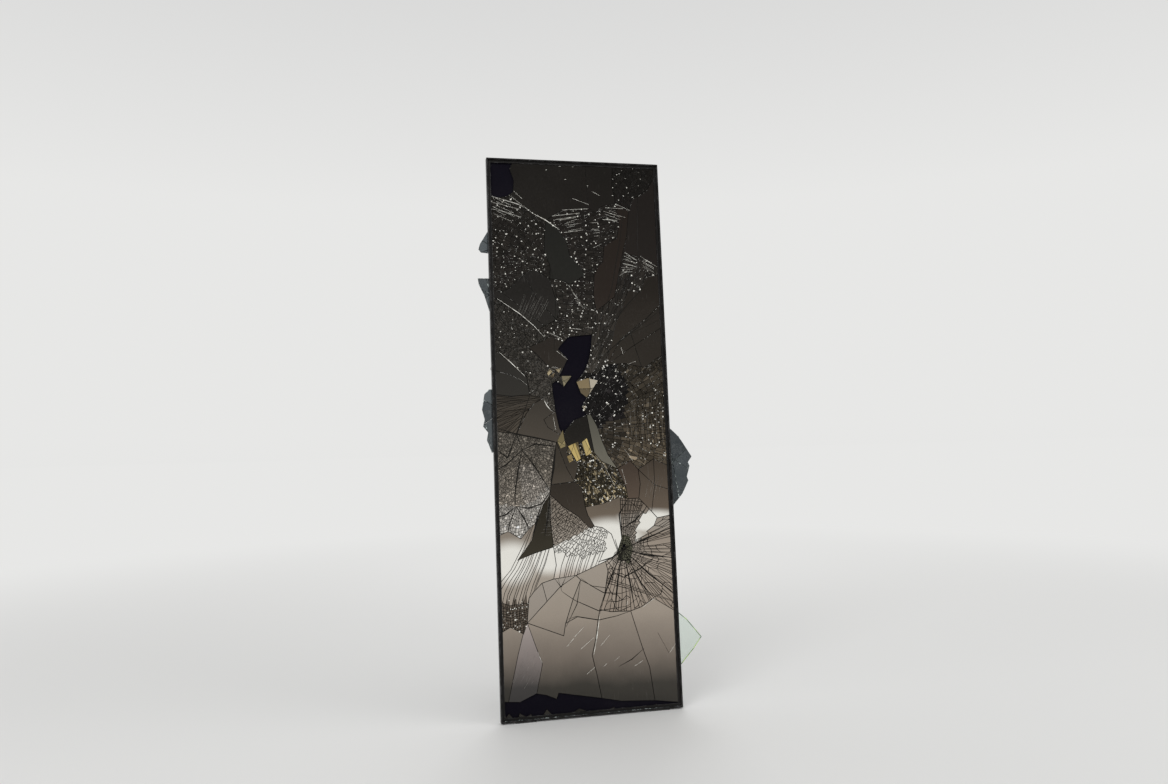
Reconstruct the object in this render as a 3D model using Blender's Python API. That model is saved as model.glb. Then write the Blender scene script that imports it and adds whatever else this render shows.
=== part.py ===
"""A tall framed floor mirror whose glass is shattered but still sits in the frame.

Everything is modelled on the upright panel: X across, Y from the front face to the back, Z up from
the frame's lower edge. One empty then leans the panel back, and another stands the whole on Z = 0.
"""

import math
import random

import bmesh
import bpy
from mathutils import Vector
from mathutils.geometry import delaunay_2d_cdt

# Frame, in metres
FRAME_WIDTH = 0.530
FRAME_HEIGHT = 1.630
RIM_WIDTH = 0.004
RIM_CHAMFER = 0.0005
LIP_RECESS = 0.007
LIP_REACH = 0.012
WALL = 0.0016
FLANGE_REACH = 0.020
MITRE_GAP = 0.0003

# Clearance between pieces that touch, and between the sheets and the frame's side walls
SEAT_GAP = 0.0003
SHEET_CLEARANCE = 0.0014

# Below this a length counts as nothing, and two points as one
TINY = 1e-6
SAME_PLACE = 1e-5

# Facets of the round pieces, and the sharpest crease that they are shaded smooth across
TUBE_SIDES = 16
BORE_SIDES = 16
SLEEVE_SIDES = 24
BEND_STEPS = 8
NOSE_STEPS = 10
CREASE = math.radians(40)

# Glass and board
GLASS_THICK = 0.004
BOARD_THICK = 0.005
CRACK_WIDTH = 0.0004
CRACK_DEPTH = 0.0006
CRACK_BEVEL = 0.0008

# Corner plates
PLATE_THICK = 0.0015
PLATE_ARM = 0.055
PLATE_WIDTH = 0.013
PLATE_INSET = 0.004

# Folding leg and its brackets
LEAN = math.radians(4.0)
LEG_SPREAD = math.radians(18.0)
LEG_RADIUS = 0.00635
LEG_FOOT_HALF = 0.170
LEG_STRAIGHT = 0.060
LEG_BEND = 0.045
PIVOT_SHARE = 0.6134969
PIVOT_OUT = 0.014
BRACKET_THICK = 0.0015
BRACKET_HALF_HEIGHT = 0.030
BRACKET_NOSE = 0.008
BOLT_RADIUS = 0.0025
BOLT_HEAD_RADIUS = 0.0045
BOLT_HEAD_THICK = 0.0018
BOLT_HEAD_BEVEL = 0.0008
SLEEVE_WALL = 0.0025
SLEEVE_LENGTH = 0.050

# Pads under the bottom rail
PAD_LENGTH = 0.060
PAD_THIN = 0.002
PAD_INSET = 0.040
PAD_MARGIN = 0.0015

# Places that follow from the sizes above
LIP_BACK = LIP_RECESS + WALL
GLASS_FRONT = LIP_BACK + SEAT_GAP
GLASS_BACK = GLASS_FRONT + GLASS_THICK
BOARD_FRONT = GLASS_BACK + SEAT_GAP
BOARD_BACK = BOARD_FRONT + BOARD_THICK
FLANGE_FRONT = BOARD_BACK + SEAT_GAP
FRAME_DEPTH = FLANGE_FRONT + WALL
SHEET_INSET = WALL + SHEET_CLEARANCE
SHEET_WIDTH = FRAME_WIDTH - 2 * SHEET_INSET
SHEET_HEIGHT = FRAME_HEIGHT - 2 * SHEET_INSET
BRACKET_HALF_WIDTH = LEG_RADIUS + SEAT_GAP + BRACKET_THICK
PIVOT_X = FRAME_WIDTH / 2 - SEAT_GAP - BOLT_HEAD_THICK - SEAT_GAP - BRACKET_HALF_WIDTH
PIVOT_Y = FRAME_DEPTH + PIVOT_OUT
PIVOT_HEIGHT = PIVOT_SHARE * FRAME_HEIGHT
SLEEVE_RADIUS = LEG_RADIUS + SEAT_GAP + SLEEVE_WALL

# The cracks that part one shard from the next, and the broken edges, as points in thousandths of
# the sheet's width and height from its lower left corner. A crack starts and ends on another.
CRACKS = {
    "sheet_edge": [(0, 0), (1000, 0), (1000, 1000), (0, 1000), (0, 0)],
    "corner_break": [(0, 934), (45, 928), (110, 932), (143, 940), (150, 962), (128, 984), (150, 1000)],
    "sweep": [
        (110, 932), (190, 917), (255, 901), (330, 888), (400, 871), (445, 850), (462, 822),
        (520, 802), (545, 786),
    ],
    "brow": [(330, 888), (365, 897), (430, 908), (585, 913), (625, 905), (665, 919), (745, 923), (822, 911)],
    "corner_line": [(735, 1000), (728, 960), (745, 923)],
    "corner_sweep": [(822, 911), (852, 935), (935, 950), (1000, 985)],
    "long_fall": [(822, 911), (803, 860), (776, 830), (745, 787), (716, 745), (605, 718)],
    "ladder_right": [
        (745, 923), (762, 885), (745, 858), (665, 842), (655, 812), (625, 803), (600, 785),
        (590, 745), (605, 718), (590, 690), (573, 674),
    ],
    "streak_top": [(776, 830), (872, 822), (1000, 803)],
    "ray_right": [
        (1000, 790), (905, 783), (868, 755), (798, 758), (745, 715), (712, 693), (690, 665), (655, 618),
    ],
    "diagonal": [(1000, 735), (900, 705), (800, 680), (735, 662), (655, 618)],
    "band_top": [(519, 604), (590, 600), (655, 618), (760, 620), (880, 612), (955, 630), (1000, 636)],
    "temple": [(330, 888), (318, 862), (312, 830), (345, 800), (340, 778)],
    "shelf": [(545, 786), (460, 768), (400, 776), (340, 778)],
    "hatch_top": [(340, 778), (250, 796), (190, 786), (110, 760), (60, 752), (0, 758)],
    "hatch_right": [(340, 778), (365, 745), (392, 722), (372, 702), (300, 690), (262, 682)],
    "flash": [(0, 747), (30, 740), (110, 721), (200, 699), (262, 682), (335, 672), (410, 661)],
    "hole_top": [(385, 652), (410, 661), (437, 670), (573, 674), (563, 645), (544, 622), (519, 604)],
    "hole_right": [(519, 604), (471, 587), (495, 566), (529, 557), (513, 549), (500, 538), (525, 526)],
    "hole_left": [
        (385, 652), (375, 647), (427, 629), (400, 612), (376, 598), (437, 595), (391, 581),
        (360, 589), (334, 584), (334, 571), (347, 534), (366, 503), (385, 488),
    ],
    "hole_foot": [(385, 488), (412, 470), (455, 472), (500, 474), (560, 457)],
    "gleam": [(471, 587), (540, 594), (600, 589), (560, 570), (529, 557)],
    "crescent_left": [(525, 526), (538, 499), (560, 457), (600, 441), (690, 427)],
    "crescent_right": [(525, 526), (548, 527), (583, 505), (606, 480), (640, 452), (690, 427)],
    "slip_edge": [(385, 488), (400, 499), (452, 517), (525, 526)],
    "low_flash": [(0, 648), (35, 641), (110, 620), (190, 597), (205, 564)],
    "pocket": [(335, 672), (285, 662), (200, 650), (245, 640), (300, 620), (345, 606), (400, 612)],
    "fan_top": [(0, 566), (100, 562), (205, 564), (280, 558), (320, 535), (347, 534)],
    "wedge_left": [(280, 558), (225, 548), (180, 530), (150, 510), (125, 495)],
    "fan_foot": [(0, 500), (60, 497), (125, 495)],
    "wedge_foot": [(125, 495), (240, 485), (345, 477), (385, 488)],
    "centre_left": [(345, 477), (325, 445), (305, 402), (300, 385), (258, 366)],
    "chin": [(305, 402), (440, 406), (470, 438), (402, 459), (412, 470)],
    "bright_left": [(440, 406), (482, 395), (497, 360)],
    "cheek": [(300, 385), (372, 362), (450, 345), (520, 322), (545, 325), (510, 345), (497, 360)],
    "bright_foot": [(497, 360), (600, 365), (700, 376), (745, 372)],
    "amber_left": [(690, 427), (710, 412), (735, 393), (745, 372)],
    "cells_foot": [(690, 427), (767, 441), (812, 424), (905, 443), (1000, 428)],
    "amber_right": [(812, 424), (820, 398), (808, 372)],
    "low_foot": [(745, 372), (808, 372), (880, 347), (912, 335), (1000, 340)],
    "hub_left": [(700, 376), (700, 302), (672, 279)],
    "glare_low": [(545, 325), (590, 322), (640, 310), (672, 279)],
    "oval_foot": [(672, 279), (640, 268), (600, 262), (500, 249), (430, 240)],
    "oval_left": [(430, 240), (305, 236), (322, 260), (310, 292), (298, 340), (300, 385)],
    "mosaic_low": [(258, 366), (222, 337), (178, 326), (130, 309), (62, 323), (0, 315)],
    "dark_left": [(222, 337), (190, 305), (109, 272), (195, 282), (310, 292)],
    "jaw": [(305, 236), (240, 230), (195, 217), (165, 205), (152, 163)],
    "spine": [(152, 163), (340, 222), (430, 240)],
    "prow": [(430, 240), (455, 232), (410, 200), (363, 158), (350, 137), (152, 163)],
    "arch": [(600, 262), (612, 245), (590, 206), (557, 178)],
    "keel": [(557, 178), (545, 160), (430, 168), (363, 158)],
    "rim_low": [(557, 178), (620, 173), (733, 172), (795, 178), (870, 192), (1000, 165)],
    "tail": [(733, 172), (795, 103), (828, 72), (850, 13)],
    "long_gleam": [(545, 160), (530, 130), (505, 100), (530, 62), (550, 25)],
    "low_edge": [(152, 163), (130, 145), (60, 158), (0, 148)],
    "foot_break": [
        (0, 33), (100, 30), (190, 42), (245, 38), (300, 30), (312, 40), (390, 35), (550, 25),
        (660, 17), (850, 13), (930, 9), (1000, 6),
    ],
}

# Shards that are one plain piece, each named with a spot inside it, in the same thousandths
PLAIN_SHARDS = {
    "top_shard": (350, 950),
    "upper_right_shard": (920, 880),
    "petal_shard": (770, 890),
    "upper_middle_shard": (390, 830),
    "hatched_shard": (200, 740),
    "right_diagonal_shard": (900, 750),
    "right_middle_shard": (850, 660),
    "left_edge_shard": (80, 590),
    "small_left_shard": (320, 645),
    "wedge_shard": (240, 520),
    "slipped_shard": (480, 490),
    "crescent_shard": (570, 490),
    "bright_shard": (530, 577),
    "amber_shard": (770, 410),
    "right_low_shard": (900, 390),
    "centre_shard": (380, 440),
    "centre_low_shard": (400, 385),
    "glare_shard": (620, 345),
    "dark_wedge_shard": (280, 330),
    "lower_left_shard": (250, 210),
    "lower_middle_shard": (300, 180),
    "ring_shard": (520, 215),
    "bottom_left_shard": (250, 100),
    "bottom_right_shard": (650, 100),
    "bottom_corner_shard": (900, 100),
}

# Zones of fine crazing: a spot inside, the spot that their cracks run from, and how long and how
# wide a cell is, in metres along and across that run
CRAZED_ZONES = {
    "corner_craze": ((850, 970), (560, 1040), 0.042, 0.032),
    "left_craze": ((150, 850), (420, 800), 0.056, 0.036),
    "ladder_craze": ((520, 850), (-900, 780), 0.046, 0.036),
    "ray_craze": ((680, 720), (560, 600), 0.080, 0.030),
    "left_mosaic": ((100, 690), (350, 600), 0.048, 0.038),
    "fan_craze": ((100, 530), (300, 556), 0.130, 0.014),
    "band_craze": ((700, 580), (480, 500), 0.066, 0.040),
    "bright_craze": ((600, 400), (400, 520), 0.046, 0.034),
    "big_mosaic": ((150, 420), (170, 465), 0.060, 0.044),
    "oval_craze": ((450, 290), (720, 330), 0.066, 0.034),
    "lower_fan_craze": ((150, 240), (420, 440), 0.150, 0.026),
    "hub_craze": ((850, 260), (703, 282), 0.070, 0.028),
}
CRAZE_SEED = 7
CRAZE_JITTER = 0.22
LARGEST_CELL = 1.25

# Shards that stick out from behind the frame: side, height of their middle as a share of the
# frame's, and their outline as metres outward from the frame's side and up from that middle
SIDE_SHARDS = {
    "left_upper_sliver": (-1, 0.844, [
        (-0.030, -0.034), (0.020, -0.029), (0.027, -0.020), (0.022, -0.004), (0.000, 0.032), (-0.025, 0.036),
    ]),
    "left_middle_sliver": (-1, 0.747, [
        (-0.034, 0.051), (0.033, 0.051), (0.030, 0.032), (0.014, -0.003), (0.000, -0.051), (-0.022, -0.058),
    ]),
    "left_lower_sliver": (-1, 0.518, [
        (-0.028, 0.094), (0.008, 0.095), (0.022, 0.080), (0.030, 0.035), (0.023, 0.006), (0.028, -0.014),
        (0.014, -0.032), (0.018, -0.054), (0.005, -0.094), (-0.006, -0.084), (-0.026, -0.055),
    ]),
    "right_upper_sliver": (1, 0.427, [
        (-0.034, 0.117), (0.006, 0.119), (0.034, 0.092), (0.072, 0.030), (0.060, 0.014), (0.064, 0.002),
        (0.054, -0.030), (0.058, -0.042), (0.038, -0.080), (0.002, -0.120), (-0.030, -0.108),
    ]),
    "right_lower_sliver": (1, 0.117, [
        (-0.032, 0.070), (0.004, 0.080), (0.032, 0.056), (0.075, 0.002), (0.048, -0.032), (0.002, -0.080),
        (-0.028, -0.068),
    ]),
}

MATERIALS = {
    "frame": ((0.012, 0.012, 0.014), 0.38, 0.3),
    "board": ((0.018, 0.015, 0.022), 0.80, 0.0),
    "mirror": ((0.62, 0.61, 0.59), 0.06, 1.0),
    "crazed": ((0.55, 0.54, 0.52), 0.28, 0.8),
    "steel": ((0.30, 0.30, 0.31), 0.35, 1.0),
    "rubber": ((0.015, 0.015, 0.015), 0.75, 0.0),
}


def clear_scene():
    for thing in list(bpy.data.objects):
        bpy.data.objects.remove(thing)


def material(slot):
    """The material of a slot, made on its first use."""
    found = bpy.data.materials.get(slot)
    if found:
        return found
    colour, roughness, metallic = MATERIALS[slot]
    made = bpy.data.materials.new(slot)
    made.use_nodes = True
    shader = made.node_tree.nodes["Principled BSDF"]
    shader.inputs["Base Color"].default_value = (*colour, 1)
    shader.inputs["Roughness"].default_value = roughness
    shader.inputs["Metallic"].default_value = metallic
    return made


def add_object(name, data, slot, parent):
    """Link the data as an object with its slot's material, under its parent."""
    made = bpy.data.objects.new(name, data)
    made.data.materials.append(material(slot))
    made.parent = parent
    bpy.context.scene.collection.objects.link(made)
    return made


def add_empty(name, parent=None):
    made = bpy.data.objects.new(name, None)
    made.parent = parent
    bpy.context.scene.collection.objects.link(made)
    return made


def mesh_from(name, bm):
    """Close a bmesh into mesh data, with its faces turned outward."""
    bmesh.ops.recalc_face_normals(bm, faces=bm.faces)
    data = bpy.data.meshes.new(name)
    bm.to_mesh(data)
    bm.free()
    return data


def shaded_round(data):
    """Shade mesh data smooth, apart from its creases."""
    data.shade_smooth()
    data.set_sharp_from_angle(angle=CREASE)
    return data


def loft(rings):
    """A closed body through rings of equal length, capped at the first and the last."""
    bm = bmesh.new()
    loops = [[bm.verts.new(point) for point in ring] for ring in rings]
    count = len(rings[0])
    for near, far in zip(loops, loops[1:]):
        for i in range(count):
            j = (i + 1) % count
            bm.faces.new((near[i], near[j], far[j], far[i]))
    bm.faces.new(loops[0])
    bm.faces.new(loops[-1])
    return bm


def turned(profile, sides):
    """A body turned about X through (radius, along) points, with a flat disc at each end."""
    rings = []
    for radius, along in profile:
        turns = [math.tau * k / sides for k in range(sides)]
        rings.append([(along, radius * math.cos(t), radius * math.sin(t)) for t in turns])
    return loft(rings)


def cut_with(target, cutter):
    """Cut a hidden cutter object out of the target with a live Boolean."""
    cutter.hide_render = True
    cutter.display_type = "WIRE"
    cut = target.modifiers.new(cutter.name, "BOOLEAN")
    cut.operation = "DIFFERENCE"
    cut.object = cutter


def box_points(low, high):
    """The two end rings of a box, from its low and high corners."""
    (x0, y0, z0), (x1, y1, z1) = low, high
    return [[(x, y0, z0), (x, y1, z0), (x, y1, z1), (x, y0, z1)] for x in (x0, x1)]


def frame_section():
    """The frame's section as (inward, back) points: rim, recessed lip, side wall and rear flange."""
    return [
        (0, RIM_CHAMFER),
        (RIM_CHAMFER, 0),
        (RIM_WIDTH - RIM_CHAMFER, 0),
        (RIM_WIDTH, RIM_CHAMFER),
        (RIM_WIDTH, LIP_RECESS),
        (LIP_REACH, LIP_RECESS),
        (LIP_REACH, LIP_BACK),
        (WALL, LIP_BACK),
        (WALL, FLANGE_FRONT),
        (FLANGE_REACH, FLANGE_FRONT),
        (FLANGE_REACH, FRAME_DEPTH),
        (0, FRAME_DEPTH),
    ]


def frame_bar(name, length, place, turn, parent):
    """One mitred length of the frame, lying along X with its lip towards +Z before it is turned."""
    mitre = MITRE_GAP / math.sqrt(2)
    ends = [
        [(side * (length / 2 - inward - mitre), back, inward) for inward, back in frame_section()]
        for side in (-1, 1)
    ]
    bar = add_object(name, mesh_from(name, loft(ends)), "frame", parent)
    bar.location = place
    bar.rotation_euler.y = turn


def build_frame(panel):
    middle = FRAME_HEIGHT / 2
    side = FRAME_WIDTH / 2
    frame_bar("bottom_rail", FRAME_WIDTH, (0, 0, 0), 0, panel)
    frame_bar("right_stile", FRAME_HEIGHT, (side, 0, middle), -math.pi / 2, panel)
    frame_bar("top_rail", FRAME_WIDTH, (0, 0, FRAME_HEIGHT), math.pi, panel)
    frame_bar("left_stile", FRAME_HEIGHT, (-side, 0, middle), math.pi / 2, panel)


def build_corner_plates(panel):
    """L-shaped plates that join the bars from behind, one at each corner."""
    front = FRAME_DEPTH + SEAT_GAP
    outline = [
        (0, 0), (PLATE_ARM, 0), (PLATE_ARM, PLATE_WIDTH), (PLATE_WIDTH, PLATE_WIDTH),
        (PLATE_WIDTH, PLATE_ARM), (0, PLATE_ARM),
    ]
    for across, side in (("left", -1), ("right", 1)):
        for level, end in (("lower", -1), ("upper", 1)):
            corner_x = side * (FRAME_WIDTH / 2 - PLATE_INSET)
            corner_z = FRAME_HEIGHT / 2 + end * (FRAME_HEIGHT / 2 - PLATE_INSET)
            flat = [(corner_x - side * a, corner_z - end * b) for a, b in outline]
            rings = [[(x, y, z) for x, z in flat] for y in (front, front + PLATE_THICK)]
            name = f"{level}_{across}_corner_plate"
            add_object(name, mesh_from(name, loft(rings)), "steel", panel)


def build_board(panel):
    half = SHEET_WIDTH / 2
    low = (-half, BOARD_FRONT, SHEET_INSET)
    high = (half, BOARD_BACK, SHEET_INSET + SHEET_HEIGHT)
    add_object("backing_board", mesh_from("backing_board", loft(box_points(low, high))), "board", panel)


def on_sheet(spot):
    """A spot in thousandths of the sheet as panel X and Z."""
    across, up = spot
    return Vector((
        (across / 1000 - 0.5) * SHEET_WIDTH,
        SHEET_INSET + up / 1000 * SHEET_HEIGHT,
    ))


def sheet_outlines():
    """The outlines that the cracks cut the sheet into, anticlockwise, as lists of X and Z."""
    points = []
    edges = []
    for crack in CRACKS.values():
        start = len(points)
        points += [on_sheet(spot) for spot in crack]
        edges += [(start + i, start + i + 1) for i in range(len(crack) - 1)]
    output_type = 3
    merge_within = 10 * SAME_PLACE
    places, _, faces, *_ = delaunay_2d_cdt(points, edges, [], output_type, merge_within)
    return [[places[i] for i in face] for face in faces]


def holds(outline, spot):
    """True where the spot lies inside the outline."""
    inside = False
    for a, b in zip(outline, outline[1:] + outline[:1]):
        if (a.y > spot.y) != (b.y > spot.y):
            if spot.x < a.x + (spot.y - a.y) * (b.x - a.x) / (b.y - a.y):
                inside = not inside
    return inside


def drawn_in(outline, distance):
    """The outline moved inward by a distance on every side, with sharp corners held back."""
    longest = 3.0
    moved = []
    for before, here, after in zip(outline[-1:] + outline[:-1], outline, outline[1:] + outline[:1]):
        first = (here - before).normalized()
        second = (after - here).normalized()
        first_in = Vector((-first.y, first.x))
        second_in = Vector((-second.y, second.x))
        both = first_in + second_in
        share = min(longest, 2 / max(both.length_squared, TINY))
        moved.append(here + both * distance * share)
    return moved


def split_cells(bm, hub, long, wide, rng):
    """Cut every face again and again, along the lines from the hub and across them, to cell size."""
    waiting = list(bm.faces)
    while waiting:
        face = waiting.pop()
        if not face.is_valid:
            continue
        middle = face.calc_center_median()
        run = Vector((middle.x - hub.x, middle.z - hub.y)).normalized()
        along = [run.x * v.co.x + run.y * v.co.z for v in face.verts]
        across = [run.x * v.co.z - run.y * v.co.x for v in face.verts]
        length = (max(along) - min(along)) / long
        width = (max(across) - min(across)) / wide
        if max(length, width) < LARGEST_CELL:
            continue
        turn = rng.uniform(-CRAZE_JITTER, CRAZE_JITTER)
        heading = Vector((run.x, 0, run.y)) if length > width else Vector((-run.y, 0, run.x))
        normal = heading + turn * Vector((-heading.z, 0, heading.x))
        shift = rng.uniform(-CRAZE_JITTER, CRAZE_JITTER) * (long if length > width else wide)
        parts = list(face.verts) + list(face.edges) + [face]
        cut = bmesh.ops.bisect_plane(
            bm, geom=parts, dist=SAME_PLACE, plane_co=middle + heading * shift, plane_no=normal
        )
        made = [part for part in cut["geom"] if isinstance(part, bmesh.types.BMFace)]
        if len(made) > 1:
            waiting += made


def groove(bm):
    """Draw each cell in and set its old border back, so that a V groove runs along every crack."""
    largest_share = 0.6
    for face in list(bm.faces):
        middle = face.calc_center_median()
        reach = min(
            (middle - loop.vert.co).cross(loop.link_loop_next.vert.co - loop.vert.co).length
            / max(loop.edge.calc_length(), TINY)
            for loop in face.loops
        )
        share = min(largest_share, CRACK_BEVEL / max(reach, TINY))
        inner = [bm.verts.new(v.co.lerp(middle, share)) for v in face.verts]
        count = len(inner)
        outer = list(face.verts)
        bm.faces.remove(face)
        for i in range(count):
            j = (i + 1) % count
            bm.faces.new((outer[i], outer[j], inner[j], inner[i]))
        bm.faces.new(inner)
        for v in inner:
            v.co.y = GLASS_FRONT
    for v in bm.verts:
        if v.co.y > GLASS_FRONT:
            v.co.y = GLASS_FRONT + CRACK_DEPTH


def give_depth(bm):
    """Close the grooved front with walls along its border and a flat back."""
    border = [edge for edge in bm.edges if edge.is_boundary]
    drawn = bmesh.ops.extrude_edge_only(bm, edges=border)["geom"]
    for part in drawn:
        if isinstance(part, bmesh.types.BMVert):
            part.co.y = GLASS_BACK
    rim = [part for part in drawn if isinstance(part, bmesh.types.BMEdge) and part.is_boundary]
    bmesh.ops.contextual_create(bm, geom=rim)


def plain_shard(name, outline, panel):
    """One clear shard of the sheet, with a bevel round its front face."""
    levels = [
        (GLASS_FRONT, CRACK_WIDTH / 2 + CRACK_BEVEL),
        (GLASS_FRONT + CRACK_DEPTH, CRACK_WIDTH / 2),
        (GLASS_BACK, CRACK_WIDTH / 2),
    ]
    rings = [[(p.x, y, p.y) for p in drawn_in(outline, inset)] for y, inset in levels]
    add_object(name, mesh_from(name, loft(rings)), "mirror", panel)


def crazed_zone(name, outline, craze, panel):
    """One zone of the sheet that is cracked into cells, which still hold together at their backs."""
    hub, long, wide = craze
    bm = bmesh.new()
    deeper = GLASS_FRONT + CRACK_DEPTH
    bm.faces.new([bm.verts.new((p.x, deeper, p.y)) for p in drawn_in(outline, CRACK_WIDTH / 2)])
    bm.normal_update()
    bmesh.ops.connect_verts_concave(bm, faces=bm.faces)
    split_cells(bm, on_sheet(hub), long, wide, random.Random(f"{CRAZE_SEED} {name}"))
    groove(bm)
    give_depth(bm)
    add_object(name, mesh_from(name, bm), "crazed", panel)


def build_glass(panel):
    outlines = sheet_outlines()
    for name, spot in PLAIN_SHARDS.items():
        found = next(outline for outline in outlines if holds(outline, on_sheet(spot)))
        plain_shard(name, found, panel)
    for name, (spot, *craze) in CRAZED_ZONES.items():
        found = next(outline for outline in outlines if holds(outline, on_sheet(spot)))
        crazed_zone(name, found, craze, panel)


def build_side_shards(panel):
    """Shards caught flat against the back of the frame, with a bevel round both faces."""
    front = FRAME_DEPTH + SEAT_GAP
    levels = [
        (front, CRACK_BEVEL),
        (front + CRACK_DEPTH, 0),
        (front + GLASS_THICK - CRACK_DEPTH, 0),
        (front + GLASS_THICK, CRACK_BEVEL),
    ]
    for name, (side, share, outline) in SIDE_SHARDS.items():
        edge = FRAME_WIDTH / 2
        flat = [Vector((side * (edge + out), share * FRAME_HEIGHT + up)) for out, up in outline]
        if side > 0:
            flat.reverse()
        rings = [[(p.x, y, p.y) for p in drawn_in(flat, inset)] for y, inset in levels]
        add_object(name, mesh_from(name, loft(rings)), "mirror", panel)


def floor_line(y):
    """The panel Z of the ground at a panel Y."""
    thin = SEAT_GAP + PAD_THIN
    return (y - FRAME_DEPTH) * math.tan(LEAN) - thin


def build_pads(panel):
    """Wedges under the bottom rail that make its leaning underside level."""
    near = PAD_MARGIN
    far = FRAME_DEPTH - PAD_MARGIN
    section = [(near, -SEAT_GAP), (far, -SEAT_GAP), (far, floor_line(far)), (near, floor_line(near))]
    for name, side in (("left_pad", -1), ("right_pad", 1)):
        outer = side * (FRAME_WIDTH / 2 - PAD_INSET)
        inner = outer - side * PAD_LENGTH
        rings = [[(x, y, z) for y, z in section] for x in (outer, inner)]
        add_object(name, mesh_from(name, loft(rings)), "rubber", panel)


def leg_length():
    """From the pivot to the middle of the foot tube, so that its sleeves stand on the ground."""
    slope = math.tan(LEAN)
    drop = PIVOT_HEIGHT - floor_line(PIVOT_Y) - SLEEVE_RADIUS / math.cos(LEAN)
    return drop / (math.cos(LEG_SPREAD) + slope * math.sin(LEG_SPREAD))


def leg_top():
    """How far the leg reaches past its pivot, to stop against the bracket when it is spread."""
    room = PIVOT_OUT - SEAT_GAP - BRACKET_THICK - SEAT_GAP
    return (room - LEG_RADIUS * math.cos(LEG_SPREAD)) / math.sin(LEG_SPREAD)


def rounded(corners, radius, steps):
    """A path through corner points with each inner corner turned as an arc."""
    path = [corners[0]]
    for before, here, after in zip(corners, corners[1:], corners[2:]):
        inward = (before - here).normalized()
        outward = (after - here).normalized()
        half = inward.angle(outward) / 2
        middle = here + (inward + outward).normalized() * radius / math.sin(half)
        start = (here + inward * radius / math.tan(half) - middle).normalized()
        end = (here + outward * radius / math.tan(half) - middle).normalized()
        path += [middle + start.slerp(end, k / steps) * radius for k in range(steps + 1)]
    return path + [corners[-1]]


def swept_tube(path, radius, sides):
    """A round bar along a path that lies in the XZ plane, with flat ends."""
    rings = []
    for i, place in enumerate(path):
        run = (path[min(i + 1, len(path) - 1)] - path[max(i - 1, 0)]).normalized()
        aside = Vector((run.z, 0, -run.x))
        back = Vector((0, 1, 0))
        turns = [math.tau * k / sides for k in range(sides)]
        rings.append([place + radius * (math.cos(t) * aside + math.sin(t) * back) for t in turns])
    return loft(rings)


def build_leg(panel):
    """The U-shaped leg, hanging from its pivot along -Z before it is spread."""
    pivot = add_empty("leg_pivot", panel)
    pivot.location = (0, PIVOT_Y, PIVOT_HEIGHT)
    pivot.rotation_euler.x = LEG_SPREAD
    reach = leg_length()
    half = [(PIVOT_X, leg_top()), (PIVOT_X, -LEG_STRAIGHT), (LEG_FOOT_HALF, -reach)]
    corners = [Vector((-x, 0, z)) for x, z in half] + [Vector((x, 0, z)) for x, z in reversed(half)]
    bar = swept_tube(rounded(corners, LEG_BEND, BEND_STEPS), LEG_RADIUS, TUBE_SIDES)
    leg = add_object("folding_leg", shaded_round(mesh_from("folding_leg", bar)), "frame", pivot)
    bore = BOLT_RADIUS + SEAT_GAP
    drill = turned([(bore, -FRAME_WIDTH), (bore, FRAME_WIDTH)], BORE_SIDES)
    cut_with(leg, add_object("leg_bore_cutter", mesh_from("leg_bore_cutter", drill), "steel", pivot))
    build_sleeves(pivot, reach)


def build_sleeves(pivot, reach):
    """Rubber sleeves round the foot tube, just inside its bends."""
    inner = LEG_RADIUS + SEAT_GAP
    outer_end = LEG_FOOT_HALF - LEG_BEND
    for name, side in (("left_sleeve", -1), ("right_sleeve", 1)):
        ends = sorted((side * outer_end, side * (outer_end - SLEEVE_LENGTH)))
        body = turned([(SLEEVE_RADIUS, ends[0]), (SLEEVE_RADIUS, ends[1])], SLEEVE_SIDES)
        sleeve = add_object(name, shaded_round(mesh_from(name, body)), "rubber", pivot)
        sleeve.location.z = -reach
        hollow = turned([(inner, ends[0] - inner), (inner, ends[1] + inner)], SLEEVE_SIDES)
        cutter = add_object(f"{name}_cutter", mesh_from(f"{name}_cutter", hollow), "rubber", pivot)
        cutter.location.z = -reach
        cut_with(sleeve, cutter)


def bracket_side():
    """The bracket's side outline as (back, up): a flat foot that narrows to a round nose."""
    nose = [math.pi / 2 - math.pi * k / NOSE_STEPS for k in range(NOSE_STEPS + 1)]
    arc = [
        (PIVOT_OUT - SEAT_GAP + BRACKET_NOSE * math.cos(t), BRACKET_NOSE * math.sin(t)) for t in nose
    ]
    foot = BRACKET_HALF_HEIGHT
    return [(0, -foot), (0, foot), (BRACKET_THICK, foot), *arc, (BRACKET_THICK, -foot)]


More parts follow.
